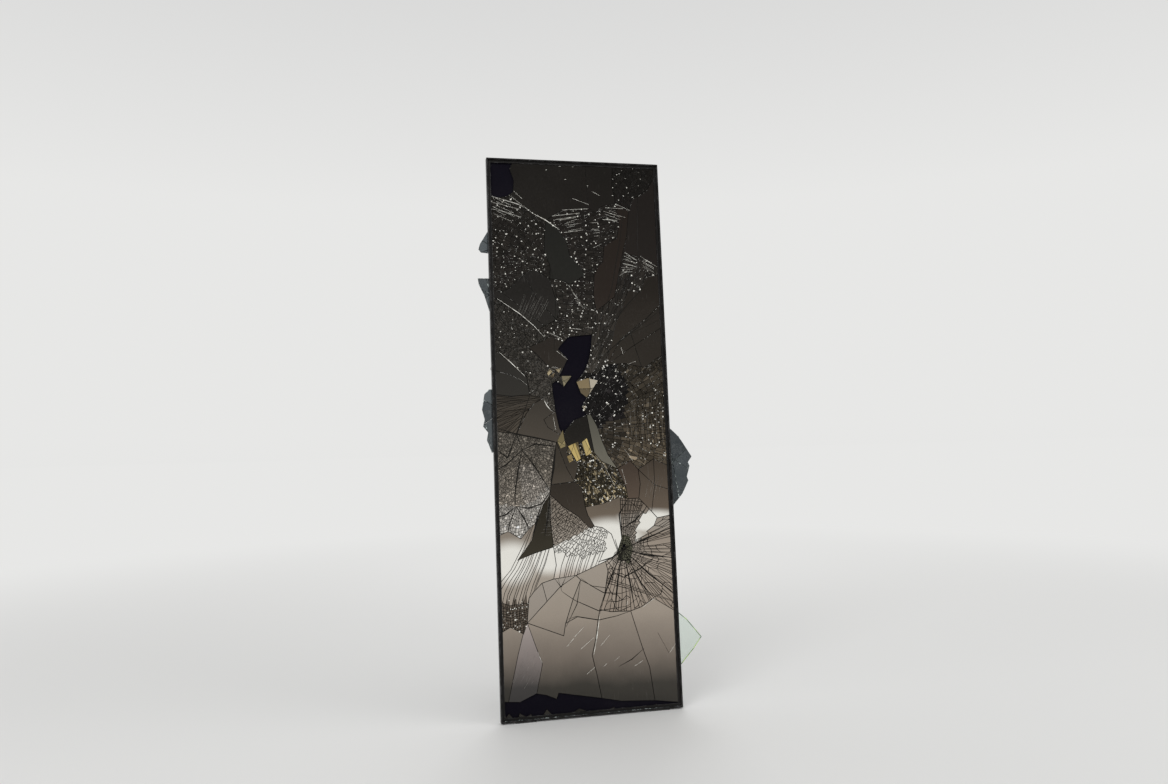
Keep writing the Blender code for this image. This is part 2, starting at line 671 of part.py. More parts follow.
def build_brackets(panel):
    """Folded steel brackets on the stiles' rear flanges, and the bolts that the leg turns on."""
    half = BRACKET_HALF_WIDTH
    inner = half - BRACKET_THICK
    tall = 2 * BRACKET_HALF_HEIGHT
    bore = BOLT_RADIUS + SEAT_GAP
    for across, side in (("left", -1), ("right", 1)):
        centre = Vector((side * PIVOT_X, FRAME_DEPTH + SEAT_GAP, PIVOT_HEIGHT))
        name = f"{across}_bracket"
        rings = [[(x, y, z) for y, z in bracket_side()] for x in (-half, half)]
        bracket = add_object(name, shaded_round(mesh_from(name, loft(rings))), "steel", panel)
        bracket.location = centre
        channel = box_points((-inner, BRACKET_THICK, -tall), (inner, tall, tall))
        cutter = add_object(f"{name}_channel", mesh_from(f"{name}_channel", loft(channel)), "steel", panel)
        cutter.location = centre
        cut_with(bracket, cutter)
        drill = turned([(bore, -2 * half), (bore, 2 * half)], BORE_SIDES)
        drill_name = f"{name}_bore"
        drilled = add_object(drill_name, mesh_from(drill_name, drill), "steel", panel)
        drilled.location = (side * PIVOT_X, PIVOT_Y, PIVOT_HEIGHT)
        cut_with(bracket, drilled)
        build_bolt(f"{across}_pivot_bolt", side, panel)


def build_bolt(name, side, panel):
    """A pivot bolt with a low head at each end, as a bolt and its sleeve nut make."""
    seat = BRACKET_HALF_WIDTH + SEAT_GAP
    end = seat + BOLT_HEAD_THICK
    half_profile = [
        (BOLT_RADIUS, seat),
        (BOLT_HEAD_RADIUS, seat),
        (BOLT_HEAD_RADIUS, end - BOLT_HEAD_BEVEL),
        (BOLT_HEAD_RADIUS - BOLT_HEAD_BEVEL, end),
    ]
    profile = [(radius, -along) for radius, along in reversed(half_profile)] + half_profile
    data = shaded_round(mesh_from(name, turned(profile, BORE_SIDES)))
    bolt = add_object(name, data, "steel", panel)
    bolt.location = (side * PIVOT_X, PIVOT_Y, PIVOT_HEIGHT)


def stand_on_origin(whole):
    """Move the whole so that its box stands centred on the origin."""
    bpy.context.view_layer.update()
    depsgraph = bpy.context.evaluated_depsgraph_get()
    corners = []
    for thing in bpy.context.scene.objects:
        if thing.type == "EMPTY" or thing.hide_render:
            continue
        seen = thing.evaluated_get(depsgraph)
        mesh = seen.to_mesh()
        corners += [seen.matrix_world @ v.co for v in mesh.vertices]
        seen.to_mesh_clear()
    low = [min(corner[k] for corner in corners) for k in range(3)]
    high = [max(corner[k] for corner in corners) for k in range(3)]
    whole.location = (-(low[0] + high[0]) / 2, -(low[1] + high[1]) / 2, -low[2])
    bpy.context.view_layer.update()


def main():
    clear_scene()
    whole = add_empty("mirror")
    panel = add_empty("panel", whole)
    panel.rotation_euler.x = -LEAN
    build_frame(panel)
    build_corner_plates(panel)
    build_board(panel)
    build_glass(panel)
    build_side_shards(panel)
    build_pads(panel)
    build_leg(panel)
    build_brackets(panel)
    stand_on_origin(whole)


main()
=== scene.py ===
"""A tall floor mirror with shattered glass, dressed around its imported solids."""

import math
import random
from typing import NamedTuple

import bmesh
import bpy
from mathutils import Matrix, Vector
from mathutils.geometry import delaunay_2d_cdt, tessellate_polygon


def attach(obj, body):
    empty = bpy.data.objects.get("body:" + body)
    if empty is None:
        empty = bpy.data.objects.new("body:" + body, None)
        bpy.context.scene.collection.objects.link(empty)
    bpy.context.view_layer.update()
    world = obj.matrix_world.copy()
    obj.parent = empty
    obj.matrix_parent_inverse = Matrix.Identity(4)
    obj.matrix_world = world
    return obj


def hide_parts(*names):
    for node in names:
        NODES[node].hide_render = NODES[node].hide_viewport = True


bl_info = {
    "name": "Broken Floor Mirror",
    "version": (1, 0, 0),
    "blender": (4, 5, 0),
    "location": "View3D > Sidebar > Mirror",
    "description": "Dresses a packed floor mirror with shattered glass, a worn frame and its stage",
    "category": "Object",
}

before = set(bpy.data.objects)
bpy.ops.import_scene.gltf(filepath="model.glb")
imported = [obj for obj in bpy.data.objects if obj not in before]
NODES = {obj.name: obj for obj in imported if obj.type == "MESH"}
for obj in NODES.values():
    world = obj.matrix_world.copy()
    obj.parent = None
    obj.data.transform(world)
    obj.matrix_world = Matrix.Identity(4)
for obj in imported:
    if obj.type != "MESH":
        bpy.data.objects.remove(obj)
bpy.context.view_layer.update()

# How the panel stands, and where the glass lies in it, in metres
LEAN = math.radians(4.0)
SHEET_INSET = 0.003
GLASS_FRONT = 0.0089
GLASS_BACK = 0.0129
FRAME_DEPTH = 0.0201
RIM_WIDTH = 0.004
SEAT_GAP = 0.0003
PLATE_THICK = 0.0015
TO_PANEL = Matrix.Rotation(LEAN, 3, "X")

# Two places nearer than this are one, a shorter edge is dropped and a smaller cell is left out
SAME_PLACE = 1e-4
SHORTEST_EDGE = 0.0007
SMALLEST_CELL = 2.5e-6

# How fine the clouds in the painted reflection of the silver are, and the colour of the surround
CLOUD_SCALE = 3.0
PALE = (0.80, 0.80, 0.79)

# Places on the panel


def node_points(node):
    """A CAD node's corners in the panel's own directions."""
    mesh = NODES[node].data
    return [TO_PANEL @ v.co for v in mesh.vertices]


def panel_origin():
    """The middle of the frame's lower front edge, in the panel's own directions."""
    points = node_points("bottom_rail")
    across = [p.x for p in points]
    return Vector((
        (min(across) + max(across)) / 2, min(p.y for p in points), min(p.z for p in points),
    ))


def frame_size():
    """The frame's width and height."""
    across = [p.x for p in node_points("bottom_rail")]
    up = [p.z for p in node_points("left_stile")]
    return max(across) - min(across), max(up) - min(up)


ORIGIN = panel_origin()
FRAME_WIDTH, FRAME_HEIGHT = frame_size()
SHEET_WIDTH = FRAME_WIDTH - 2 * SHEET_INSET
SHEET_HEIGHT = FRAME_HEIGHT - 2 * SHEET_INSET
FROM_PANEL = TO_PANEL.inverted()


def placed(x, y, z):
    """A panel place in the row frame."""
    return FROM_PANEL @ (ORIGIN + Vector((x, y, z)))


def on_sheet(spot):
    """A spot in thousandths of the sheet as panel X and Z."""
    across, up = spot
    return Vector((
        (across / 1000 - 0.5) * SHEET_WIDTH,
        SHEET_INSET + up / 1000 * SHEET_HEIGHT,
    ))


def camera_turn(yaw, pitch, roll):
    """How a camera is turned, from its degrees about the vertical, upward and about its own axis."""
    yaw, pitch, roll = (math.radians(angle) for angle in (yaw, pitch, roll))
    turn = Matrix.Rotation(yaw, 3, "Z") @ Matrix.Rotation(math.pi / 2 + pitch, 3, "X")
    return turn @ Matrix.Rotation(roll, 3, "Z")


# The camera that cracks were read through: its place, its turn, its focal length in pixels and the
# pixel in the middle of its picture
PHOTO_PLACE = Vector((-0.588, -2.733, 0.953))
PHOTO_TURN = camera_turn(-12.33, -0.34, -1.24)
PHOTO_FOCUS = 28.0 / 36.0 * 1168
PHOTO_MIDDLE = (584, 392)


class Closeup(NamedTuple):
    """A window of the photograph in which cracks were read, enlarged."""

    left: float  # its upper left corner, in pixels of the photograph
    top: float
    larger: float

    def spot(self, x, y):
        """A spot of the window on the glass, in thousandths of the sheet."""
        across = (self.left + x / self.larger - PHOTO_MIDDLE[0]) / PHOTO_FOCUS
        down = (self.top + y / self.larger - PHOTO_MIDDLE[1]) / PHOTO_FOCUS
        sight = TO_PANEL @ (PHOTO_TURN @ Vector((across, -down, -1.0)))
        eye = TO_PANEL @ PHOTO_PLACE - ORIGIN
        met = eye + sight * ((GLASS_FRONT - eye.y) / sight.y)
        return (
            round((met.x / SHEET_WIDTH + 0.5) * 1000),
            round((met.z - SHEET_INSET) / SHEET_HEIGHT * 1000),
        )

    def line(self, *spots):
        return [self.spot(*spot) for spot in spots]

    def lines(self, *drawn):
        return [self.line(*spots) for spots in drawn]


UPPER = Closeup(480, 150, 1135 / 210)
MIDDLE = Closeup(488, 280, 1440 / 202)
LOWER = Closeup(480, 430, 1214 / 240)

# Where the glass was struck low down, and the two places on the left where heavy cracks meet
IMPACT = (703, 282)
FORK = MIDDLE.spot(205, 1130)
STAR = MIDDLE.spot(245, 1245)
LEFT_KNOT = (109, 366)
CHIN = (300, 389)

# Where a bright glare is painted into the silver as a reflection: middle in thousandths of the sheet,
# reach across and up in metres, and turn
PAINTED_GLARES = [
    ((75, 268), (0.075, 0.062), 0.0),
    ((290, 275), (0.075, 0.050), 0.0),
    ((505, 284), (0.165, 0.058), -0.25),
    ((625, 304), (0.110, 0.056), 0.0),
    ((865, 330), (0.110, 0.034), -0.75),
]


class Zone(NamedTuple):
    """How one zone of glass is crazed."""

    hub: tuple  # the spot its cells run out from, in thousandths of the sheet
    long: float  # length and width of a cell, in metres, or 0 where other lines make the cells
    wide: float
    tone_and_reflection: tuple = (1.0, 1.0, 1.0, 0.0)  # brightness of the reflection painted into its silver, and how much painted glare it shows
    spread: float = 0.1  # how much the cells differ in brightness
    lean: float = 0.5  # the most that a cell leans, in degrees
    grooves: float = 0.7  # width of the grooves, beside the setting
    glint: float = 0.0  # how much painted glint its cracks show
    chips: float = 0.0  # share of cells with a bright chip at one corner, which paints a glint
    sparks: tuple = (0.0, 1.0)  # share of cells that flash, and how much brighter they are
    jitter: float = 0.24  # how far the cells stray from a plain grid


class Patch(NamedTuple):
    """A part of a zone or shard that differs from the rest of it."""

    outline: list  # in thousandths of the sheet
    tone_and_reflection: tuple
    chips: float = 0.0
    whole: bool = False  # True where the zone's own lines stop short of it


CRAZED = {
    "corner_craze": Zone((560, 1040), 0.016, 0.011, (0.7, 0.7, 0.7, 0), 0.3, 1.0, 0.7, 0.12, 0.07),
    "left_craze": Zone((420, 800), 0.020, 0.012, (1.0, 1.0, 1.0, 0), 0.35, 1.2, 0.7, 0.55, 0.42),
    "ladder_craze": Zone((-900, 780), 0.022, 0.012, (1.0, 1.0, 1.0, 0), 0.35, 1.2, 0.7, 0.6, 0.40),
    "ray_craze": Zone((560, 600), 0.050, 0.012, (1.1, 1.1, 1.1, 0), 0.45, 1.0, 0.8, 0.6, 0.42),
    "left_mosaic": Zone((350, 600), 0.011, 0.009, (1.3, 1.35, 1.4, 0), 0.45, 1.5, 0.6, 0.25, 0.04,
                        jitter=0.6),
    "fan_craze": Zone((300, 556), 0.130, 0.010, (1.05, 1.03, 1.0, 0), 0.18, 0.3, 1.1, 0.05, 0.0),
    "band_craze": Zone((480, 500), 0.028, 0.014, (0.55, 0.53, 0.48, 0), 0.45, 1.0, 0.8, 0.4, 0.20,
                       (0.09, 2.6)),
    "bright_craze": Zone((400, 520), 0.013, 0.008, (0.30, 0.29, 0.22, 0), 0.5, 1.6, 0.9, 0.6, 0.25,
                         (0.24, 6.5), 0.4),
    "big_mosaic": Zone((170, 465), 0.010, 0.0085, (1.6, 1.68, 1.75, 0), 0.42, 1.0, 0.6, 0.12, 0.0,
                       (0.10, 1.8), jitter=0.6),
    "oval_craze": Zone((1000, 520), 0.017, 0.009, (1.25, 1.25, 1.28, 1), 0.08, 0.4, 0.95, jitter=0.5),
    "lower_fan_craze": Zone((420, 440), 0, 0, (1.0, 1.0, 1.0, 1), 0.08, 0.3, 1.0, 0.1),
    "hub_craze": Zone(IMPACT, 0, 0, (0.92, 0.89, 0.87, 0.15), 0.10, 0.3, 1.15, 0.05),
}

# Parts of the zones and shards that differ from the rest of them, each with its own painted reflection
PATCHES = {
    "band_craze": [
        Patch([(480, 520), (500, 620), (700, 622), (770, 580), (740, 520), (640, 512), (560, 490)],
              (0.16, 0.16, 0.20, 0), 0.34),
        Patch([(780, 650), (1000, 620), (1000, 430), (700, 430), (760, 540)], (0.95, 0.90, 0.78, 0), 0.10),
    ],
    "big_mosaic": [
        Patch([(0, 372), (110, 366), (200, 372), (300, 400), (300, 300), (0, 300)],
              (2.05, 2.3, 2.6, 0)),
        Patch([(120, 440), (215, 440), (290, 400), (230, 360), (150, 372)], (2.0, 2.15, 2.35, 0)),
    ],
    "oval_craze": [
        Patch([(300, 300), (323, 294), (431, 309), (500, 322), (569, 334), (620, 345), (620, 420),
               (300, 420)], (1.12, 1.14, 1.16, 0)),
        Patch([(612, 262), (710, 294), (710, 318), (650, 328), (604, 300)], (1.3, 1.3, 1.3, 1),
              whole=True),
        Patch([(310, 284), (360, 277), (470, 268), (604, 280), (612, 262), (560, 240), (310, 225)],
              (1.25, 1.25, 1.28, 1), whole=True),
    ],
    "hub_craze": [
        Patch([(775, 294), (800, 298), (880, 326), (940, 350), (905, 352), (845, 344), (790, 320)],
              (1.2, 1.2, 1.2, 1), whole=True),
        Patch([(672, 262), (740, 258), (762, 284), (738, 306), (690, 308), (664, 286)],
              (0.30, 0.34, 0.28, 0)),
    ],
    "lower_fan_craze": [
        Patch([(-20, 208), (180, 208), (180, 120), (-20, 120)], (0.34, 0.32, 0.30, 0), 0.22),
    ],
    "bright_shard": [
        Patch([(541, 610), (552, 574), (640, 574), (640, 620)], (12.0, 12.4, 12.0, 0)),
        Patch([(440, 610), (541, 610), (552, 574), (440, 574)], (6.0, 5.3, 3.6, 0)),
        Patch([(440, 574), (552, 574), (523, 540), (440, 540)], (3.0, 2.7, 2.0, 0)),
        Patch([(552, 574), (640, 574), (600, 540), (523, 540)], (8.0, 8.0, 7.4, 0)),
    ],
    "bottom_left_shard": [
        Patch([(150, 168), (195, 122), (228, 92), (190, 10), (20, 8), (98, 112)],
              (1.30, 1.33, 1.50, 0)),
    ],
}

# Families of crack lines in a crazed zone: the first line, the last line and how many
FAMILIES = {
    "lower_fan_craze": [
        ([(190, 334), (120, 288), (60, 256), (8, 238), (-14, 230), (-30, 222)],
         [(352, 378), (322, 312), (272, 264), (220, 224), (178, 180), (158, 130)], 14),
        ([(-8, 206), (60, 198), (165, 200)], [(-8, 140), (60, 132), (165, 148)], 14),
        ([(4, 210), (8, 128)], [(150, 215), (160, 128)], 12),
        ([(215, 342), (300, 352), (360, 350)], [(205, 292), (270, 306), (330, 300)], 9),
    ],
    "oval_craze": [
        ([(328, 232), (348, 258), (376, 284)], [(566, 246), (600, 268), (640, 296)], 15),
    ],
    "band_craze": [
        ([(812, 566), (806, 520), (822, 462)], [(992, 566), (984, 520), (992, 462)], 10),
    ],
    "hub_craze": [
        ([(680, 308), (790, 316)], [(690, 372), (850, 366)], 8),
        ([(708, 300), (702, 380)], [(748, 300), (850, 372)], 9),
        ([(735, 292), (1010, 330)], [(735, 268), (1010, 214)], 13),
        ([(742, 262), (1010, 208)], [(722, 256), (800, 178)], 7),
    ],
}

# Webs that spread over a crazed zone from an impact: hub, first ring, least ring step, step for each
# metre from the hub, spokes, widest gap between spokes, reach
WEBS = {
    "hub_craze": [
        (IMPACT, 0.005, 0.010, 0.24, 26, 0.014, 0.36),
        ((712, 288), 0.004, 0.006, 0.10, 20, 0.008, 0.060),
    ],
    "band_craze": [((480, 500), 0.030, 0.040, 0.10, 14, 0.050, 0.40)],
}

# The reflection painted into each plain shard's silver, and how much of the painted glare it shows
SHARD_REFLECTIONS = {
    "top_shard": (0.9, 0.9, 0.9, 0),
    "upper_right_shard": (0.98, 0.92, 0.94, 0),
    "petal_shard": (1.15, 0.98, 0.92, 0),
    "upper_middle_shard": (0.92, 1.06, 1.08, 0),
    "hatched_shard": (0.84, 0.88, 0.92, 0),
    "right_diagonal_shard": (0.98, 0.92, 0.86, 0),
    "right_middle_shard": (0.85, 0.82, 0.78, 0),
    "left_edge_shard": (0.80, 0.85, 0.90, 0),
    "small_left_shard": (0.8, 0.76, 0.74, 0),
    "wedge_shard": (0.95, 0.95, 0.95, 0),
    "slipped_shard": (0.20, 0.21, 0.22, 0),
    "crescent_shard": (1.7, 1.9, 1.9, 0),
    "bright_shard": (6.0, 6.2, 5.6, 0),
    "amber_shard": (0.55, 0.48, 0.45, 0),
    "right_low_shard": (0.65, 0.60, 0.56, 1),
    "centre_shard": (0.50, 0.49, 0.47, 0),
    "centre_low_shard": (0.22, 0.21, 0.20, 0),
    "glare_shard": (0.75, 0.72, 0.68, 1),
    "dark_wedge_shard": (0.12, 0.12, 0.10, 0),
    "lower_left_shard": (0.95, 0.97, 1.0, 1),
    "lower_middle_shard": (1.0, 1.0, 1.0, 0),
    "ring_shard": (0.9, 0.9, 0.9, 0),
    "bottom_left_shard": (1.0, 1.0, 1.0, 0),
    "bottom_right_shard": (1.0, 1.0, 1.0, 0),
    "bottom_corner_shard": (1.0, 1.0, 1.0, 0),
}

# Cracks that run inside plain shards, in thousandths of the sheet
SHARD_BREAKS = {
    "top_shard": [[(572, 1010), (575, 950), (585, 905)], [(600, 945), (637, 937), (700, 930)]],
    "upper_right_shard": [[(880, 941), (866, 850), (872, 815)]],
    "hatched_shard": [[(60, 752), (160, 728), (300, 690)], [(190, 790), (260, 740), (372, 702)]],
    "right_middle_shard": [[(655, 618), (800, 650), (1000, 690)], [(800, 680), (860, 612)]],
    "left_edge_shard": [[(0, 610), (110, 600), (200, 580)]],
    "wedge_shard": [[(347, 534), (260, 515), (150, 505)], [(385, 488), (300, 505), (240, 545)]],
    "right_low_shard": [[(812, 424), (905, 395), (1000, 385)], [(880, 347), (905, 395), (905, 443)]],
    "centre_shard": [[(345, 477), (400, 430), (440, 406)]],
    "ring_shard": [[(430, 203), (500, 188), (557, 178)], [(455, 232), (520, 220), (605, 215)]],
    "lower_left_shard": [[(240, 230), (270, 190), (300, 160)]],
    "bright_shard": [[(541, 610), (552, 574), (523, 540)], [(450, 574), (552, 574), (630, 580)]],
    "bottom_left_shard": [
        [(152, 163), (195, 122), (228, 92), (190, 40)], [(148, 168), (98, 112), (20, 8)],
    ],
}

# Bright splits that stop inside the glass, read in close-ups or in thousandths of the sheet
HAIRLINES = [
    *UPPER.lines(
        [(500, 265), (590, 300)], [(445, 330), (590, 322)], [(390, 365), (540, 348)],
        [(405, 385), (535, 365)], [(470, 400), (525, 380)], [(735, 293), (815, 330)],
        [(680, 315), (780, 320)], [(670, 335), (790, 370)], [(60, 258), (200, 300), (235, 318)],
        [(60, 290), (210, 330)], [(60, 330), (170, 350)], [(150, 350), (220, 372)],
        [(155, 250), (285, 350)], [(285, 350), (350, 385), (430, 440)], [(455, 455), (560, 440)],
        [(600, 400), (640, 398)], [(665, 380), (745, 385)], [(785, 560), (850, 605)],
        [(775, 620), (850, 640)], [(870, 580), (960, 640)], [(760, 690), (800, 660)],
        [(605, 225), (650, 250)], [(180, 230), (225, 270)],
    ),
    [(600, 838), (650, 846)],
    *MIDDLE.lines(
        [(65, 160), (230, 270), (330, 355), (400, 430)], [(80, 545), (165, 620), (265, 715)],
        [(215, 730), (280, 780)], [(440, 405), (530, 440)], [(490, 530), (570, 592)],
    ),
    [MIDDLE.spot(400, 885), (300, 544), MIDDLE.spot(455, 965)],
    [(333, 524), (344, 500)],
    *MIDDLE.lines(
        [(950, 500), (965, 550)], [(1000, 620), (1055, 600)], [(820, 1330), (905, 1490)],
        [(955, 1370), (985, 1480)], [(975, 1230), (1030, 1310)],
    ),
    [*LOWER.line((575, 1145), (590, 1060)), (555, 166)],
    *LOWER.lines(
        [(480, 1055), (525, 1005)], [(440, 1105), (475, 1065)], [(510, 1115), (575, 1060)],
        [(610, 1100), (655, 1045)], [(540, 1240), (580, 1205)], [(625, 1200), (640, 1185)],
        [(680, 1170), (705, 1150)], [(955, 1130), (995, 1065)], [(820, 905), (880, 860)],
        [(740, 895), (745, 875)], [(780, 1195), (820, 1170)],
    ),
    [(205, 112), (227, 93)], [(448, 686), (512, 684)], [(536, 687), (580, 687)],
]

# Thin cracks that stop inside plain glass, their shade painted as dark strips, given in the same two ways
DARK_HAIRLINES = [
    [(330, 236), *LOWER.line((415, 830), (440, 850), (480, 875), (600, 925), (745, 900)), (800, 200)],
    LOWER.line((430, 1000), (445, 970), (490, 955), (600, 970), (690, 950), (800, 910)),
    [(312, 236), (345, 221), (372, 238)], [(455, 232), (430, 190), (365, 152)],
    [*LOWER.line((510, 765), (560, 800), (625, 835)), (680, 204), LOWER.spot(780, 815)],
    LOWER.line((625, 875), (690, 880), (750, 860)),
    [*LOWER.line((655, 700), (630, 840)), (557, 170)],
    [(640, 252), (640, 232), (610, 204)],
    [LOWER.spot(825, 1110), (730, 88), LOWER.spot(700, 1200)],
    LOWER.line((895, 1030), (950, 1130)),
    [(600, 745), (560, 820), (545, 905), (548, 960), (560, 1000)],
    [(620, 690), (700, 760), (760, 850), (800, 930), (835, 975)],
    *MIDDLE.lines(
        [(770, 400), (900, 320), (1000, 190), (1180, 0)], [(730, 640), (940, 460), (1230, 235)],
        [(940, 440), (1225, 300)], [(640, 730), (740, 690), (900, 600)],
    ),
    [(350, 640), (372, 750), (330, 830)],
]

# Families of bright strokes: the first line, the last line and how many
BRIGHT_STROKES = [
    ([(783, 833), (858, 819)], [(756, 790), (838, 793)], 9),
    ([(878, 827), (980, 807)], [(870, 806), (962, 792)], 7),
    ([(680, 918), (812, 903)], [(664, 896), (770, 886)], 4),
    ([(392, 893), (520, 903)], [(455, 868), (545, 874)], 6),
    ([(18, 932), (150, 912)], [(22, 898), (150, 880)], 6),
    ([(440, 772), (476, 752)], [(492, 730), (560, 716)], 7),
    ([(300, 610), (345, 600)], [(330, 618), (392, 612)], 4),
    ([(598, 878), (640, 880)], [(610, 856), (668, 858)], 4),
]

# Families of faint grey strokes: the first line, the last line and how many
STROKES = [
    ([(130, 700), (205, 765)], [(250, 690), (345, 740)], 14),
    ([(745, 470), (730, 545)], [(975, 455), (985, 560)], 8),
    ([(830, 360), (860, 402)], [(930, 372), (990, 432)], 5),
    ([(590, 365), (690, 385)], [(600, 350), (700, 372)], 3),
    ([(40, 60), (150, 120)], [(130, 40), (270, 108)], 7),
    ([(290, 380), (304, 380)], [(236, 312), (322, 312)], 14),
    ([(296, 384), (262, 318)], [(304, 384), (316, 306)], 6),
    ([(4, 458), (70, 448), (120, 440)], [(4, 412), (60, 420), (116, 434)], 7),
]

# Heavy cracks that cross the crazed zones, their shade painted as dark strips, given in the same two ways
DARK_CRACKS = [
    [(205, 564), FORK, STAR], [(20, 505), FORK, (240, 486), MIDDLE.spot(480, 1180)],
    [STAR, (60, 440), (0, 430)], [STAR, *MIDDLE.line((215, 1400), (195, 1568)), LEFT_KNOT],
    [STAR, MIDDLE.spot(330, 1350), (300, 392)], [STAR, MIDDLE.spot(340, 1200), (335, 470)],
    [LEFT_KNOT, (50, 352), (0, 348)], [LEFT_KNOT, (180, 362), (252, 369), CHIN],
    [LEFT_KNOT, (70, 335), (62, 323)], [LEFT_KNOT, (150, 345), (178, 326)],
    [CHIN, (325, 430), (345, 477)], [CHIN, (285, 345), (262, 312)],
    [(252, 369), (225, 345), (190, 305)], [(0, 470), (70, 452), FORK],
    [IMPACT, (640, 268), (560, 262)], [IMPACT, (690, 345), (745, 372)],
    [IMPACT, (850, 300), (1000, 318)], [IMPACT, (860, 268), (1000, 262)],
    [IMPACT, (850, 235), (1000, 196)], [IMPACT, (800, 220), (870, 192)],
    [IMPACT, (735, 225), (757, 176)], [IMPACT, (668, 230), (640, 176)],
    [IMPACT, (630, 235), (590, 206)], [(700, 318), (780, 332), (842, 352)],
    [(660, 300), (690, 262), (760, 262)], [(630, 244), (700, 232), (800, 246), (870, 262)],
]

# Small bright specks where a split ends, in thousandths of the sheet
SPECKS = [
    (340, 985), (420, 993), (497, 993), (450, 968), (582, 957), (735, 972), (755, 964), (760, 981),
    (775, 983), (810, 974), (730, 940), (850, 938),
]

# Loose flakes that lie on the glass round the hole: their outlines in thousandths of the sheet, and
# the bright highlights painted into their colour
FLAKES = [
    ([(388, 598), (446, 598), (398, 578)], (9.0, 9.0, 7.0, 0.0)),
    ([MIDDLE.spot(420, 690), (321, 611), (338, 606), (312, 598)], (9.0, 8.6, 6.5, 0.0)),
    ([(353, 610), (388, 613), (374, 603)], (8.0, 7.6, 6.0, 0.0)),
    ([(320, 598), (352, 605), (340, 594)], (4.0, 3.6, 2.6, 0.0)),
    ([(498, 542), (522, 543), (514, 533)], (9.0, 9.4, 9.0, 0.0)),
    ([(350, 480), (384, 500), MIDDLE.spot(555, 1215), (368, 466)], (3.0, 2.9, 1.8, 0.0)),
    ([(410, 470), (452, 476), (482, 447), (458, 442)], (6.0, 5.4, 2.6, 0.0)),
    ([(452, 476), (468, 462), (482, 447), (470, 478)], (2.2, 2.0, 1.2, 0.0)),
    ([(491, 477), (520, 484), (546, 457), (512, 451)], (5.0, 4.6, 2.4, 0.0)),
    ([(402, 452), (430, 456), (438, 444), (414, 440)], (3.6, 3.2, 1.8, 0.0)),
]

# Pieces of fallen glass that stand in the frame's lower channel: their outlines in thousandths of
# the sheet, from its lower edge up
CAUGHT = [
    [(4, 0), (70, 0), (60, 5), (38, 13), (24, 7), (6, 18)],
    [(84, 0), (170, 0), (158, 9), (132, 5), (96, 12)],
    [(196, 0), (300, 0), (268, 6), (244, 15), (222, 4)],
    [(372, 0), (500, 0), (470, 5), (424, 11), (392, 6)],
    [(560, 0), (640, 0), (616, 8), (580, 4)],
    [(790, 0), (900, 0), (856, 7), (820, 3)],
]


# Half widths of specks, strokes and cracks, beside that of a hairline
WIDTHS = {"speck": 1.6, "bright stroke": 0.8, "faint stroke": 0.7, "dark crack": 2.3, "dark hairline": 1.2}

# The darkest and the palest that a sliver's facets are, on either side of the frame
SLIVER_TONES = {"left": (0.1, 0.8), "right": (0.0, 0.35)}


class GlassSettings(bpy.types.PropertyGroup):
    """Sizes of the broken glass."""

    groove: bpy.props.FloatProperty(
        name="Groove", description="Width of the worn edge along each crack, on each side of it",
        default=0.0008, min=0.0, unit="LENGTH",
    )
    groove_depth: bpy.props.FloatProperty(
        name="Groove depth", description="How deep that edge is", default=0.0009, min=0.0, unit="LENGTH",
    )
    crack: bpy.props.FloatProperty(
        name="Crack", description="Width of the open crack between two cells", default=0.00016,
        min=0.0, unit="LENGTH",
    )
    tilt: bpy.props.FloatProperty(
        name="Tilt", description="The most that a plain shard leans out of the sheet",
        default=math.radians(0.2), min=0.0, subtype="ANGLE",
    )
    hairline: bpy.props.FloatProperty(
        name="Hairline", description="Half the width of a fine split", default=0.0011, min=0.0,
        unit="LENGTH",
    )
    seed: bpy.props.IntProperty(name="Seed", description="Seed of the crazing", default=11)


class FinishSettings(bpy.types.PropertyGroup):
    """Colours of the finishes."""

    frame_paint: bpy.props.FloatVectorProperty(
        name="Frame paint", description="Colour of the frame's satin paint",
        default=(0.0045, 0.0042, 0.0040), size=3, subtype="COLOR", min=0.0, max=1.0,
    )
    board: bpy.props.FloatVectorProperty(
        name="Board", description="Colour of the backing board", default=(0.0022, 0.0018, 0.0040),
        size=3, subtype="COLOR", min=0.0, max=1.0,
    )
    steel: bpy.props.FloatVectorProperty(
        name="Steel", description="Colour of the plates, brackets and screws",
        default=(0.30, 0.30, 0.31), size=3, subtype="COLOR", min=0.0, max=1.0,
    )
    edge_green: bpy.props.FloatVectorProperty(
        name="Edge green", description="Colour of a clear shard's lit edge",
        default=(0.42, 0.62, 0.16), size=3, subtype="COLOR", min=0.0, max=1.0,
    )


class StageSettings(bpy.types.PropertyGroup):
    """The floor, the lights and the camera."""

    floor_colour: bpy.props.FloatVectorProperty(
        name="Floor", description="Colour of the floor", default=(0.76, 0.76, 0.75), size=3,
        subtype="COLOR", min=0.0, max=1.0,
    )
    lens: bpy.props.FloatProperty(
        name="Lens", description="Focal length in millimetres", default=28.0, min=1.0,
    )
    key_power: bpy.props.FloatProperty(
        name="Key light", description="Power of the main soft light", default=70.0, min=0.0,
        unit="POWER",
    )


def settings():
    return bpy.context.scene.broken_mirror_glass


def finishes():
    return bpy.context.scene.broken_mirror_finish


def staging():
    return bpy.context.scene.broken_mirror_stage


# Outlines and cells, all as lists of panel X and Z that run anticlockwise seen from the front


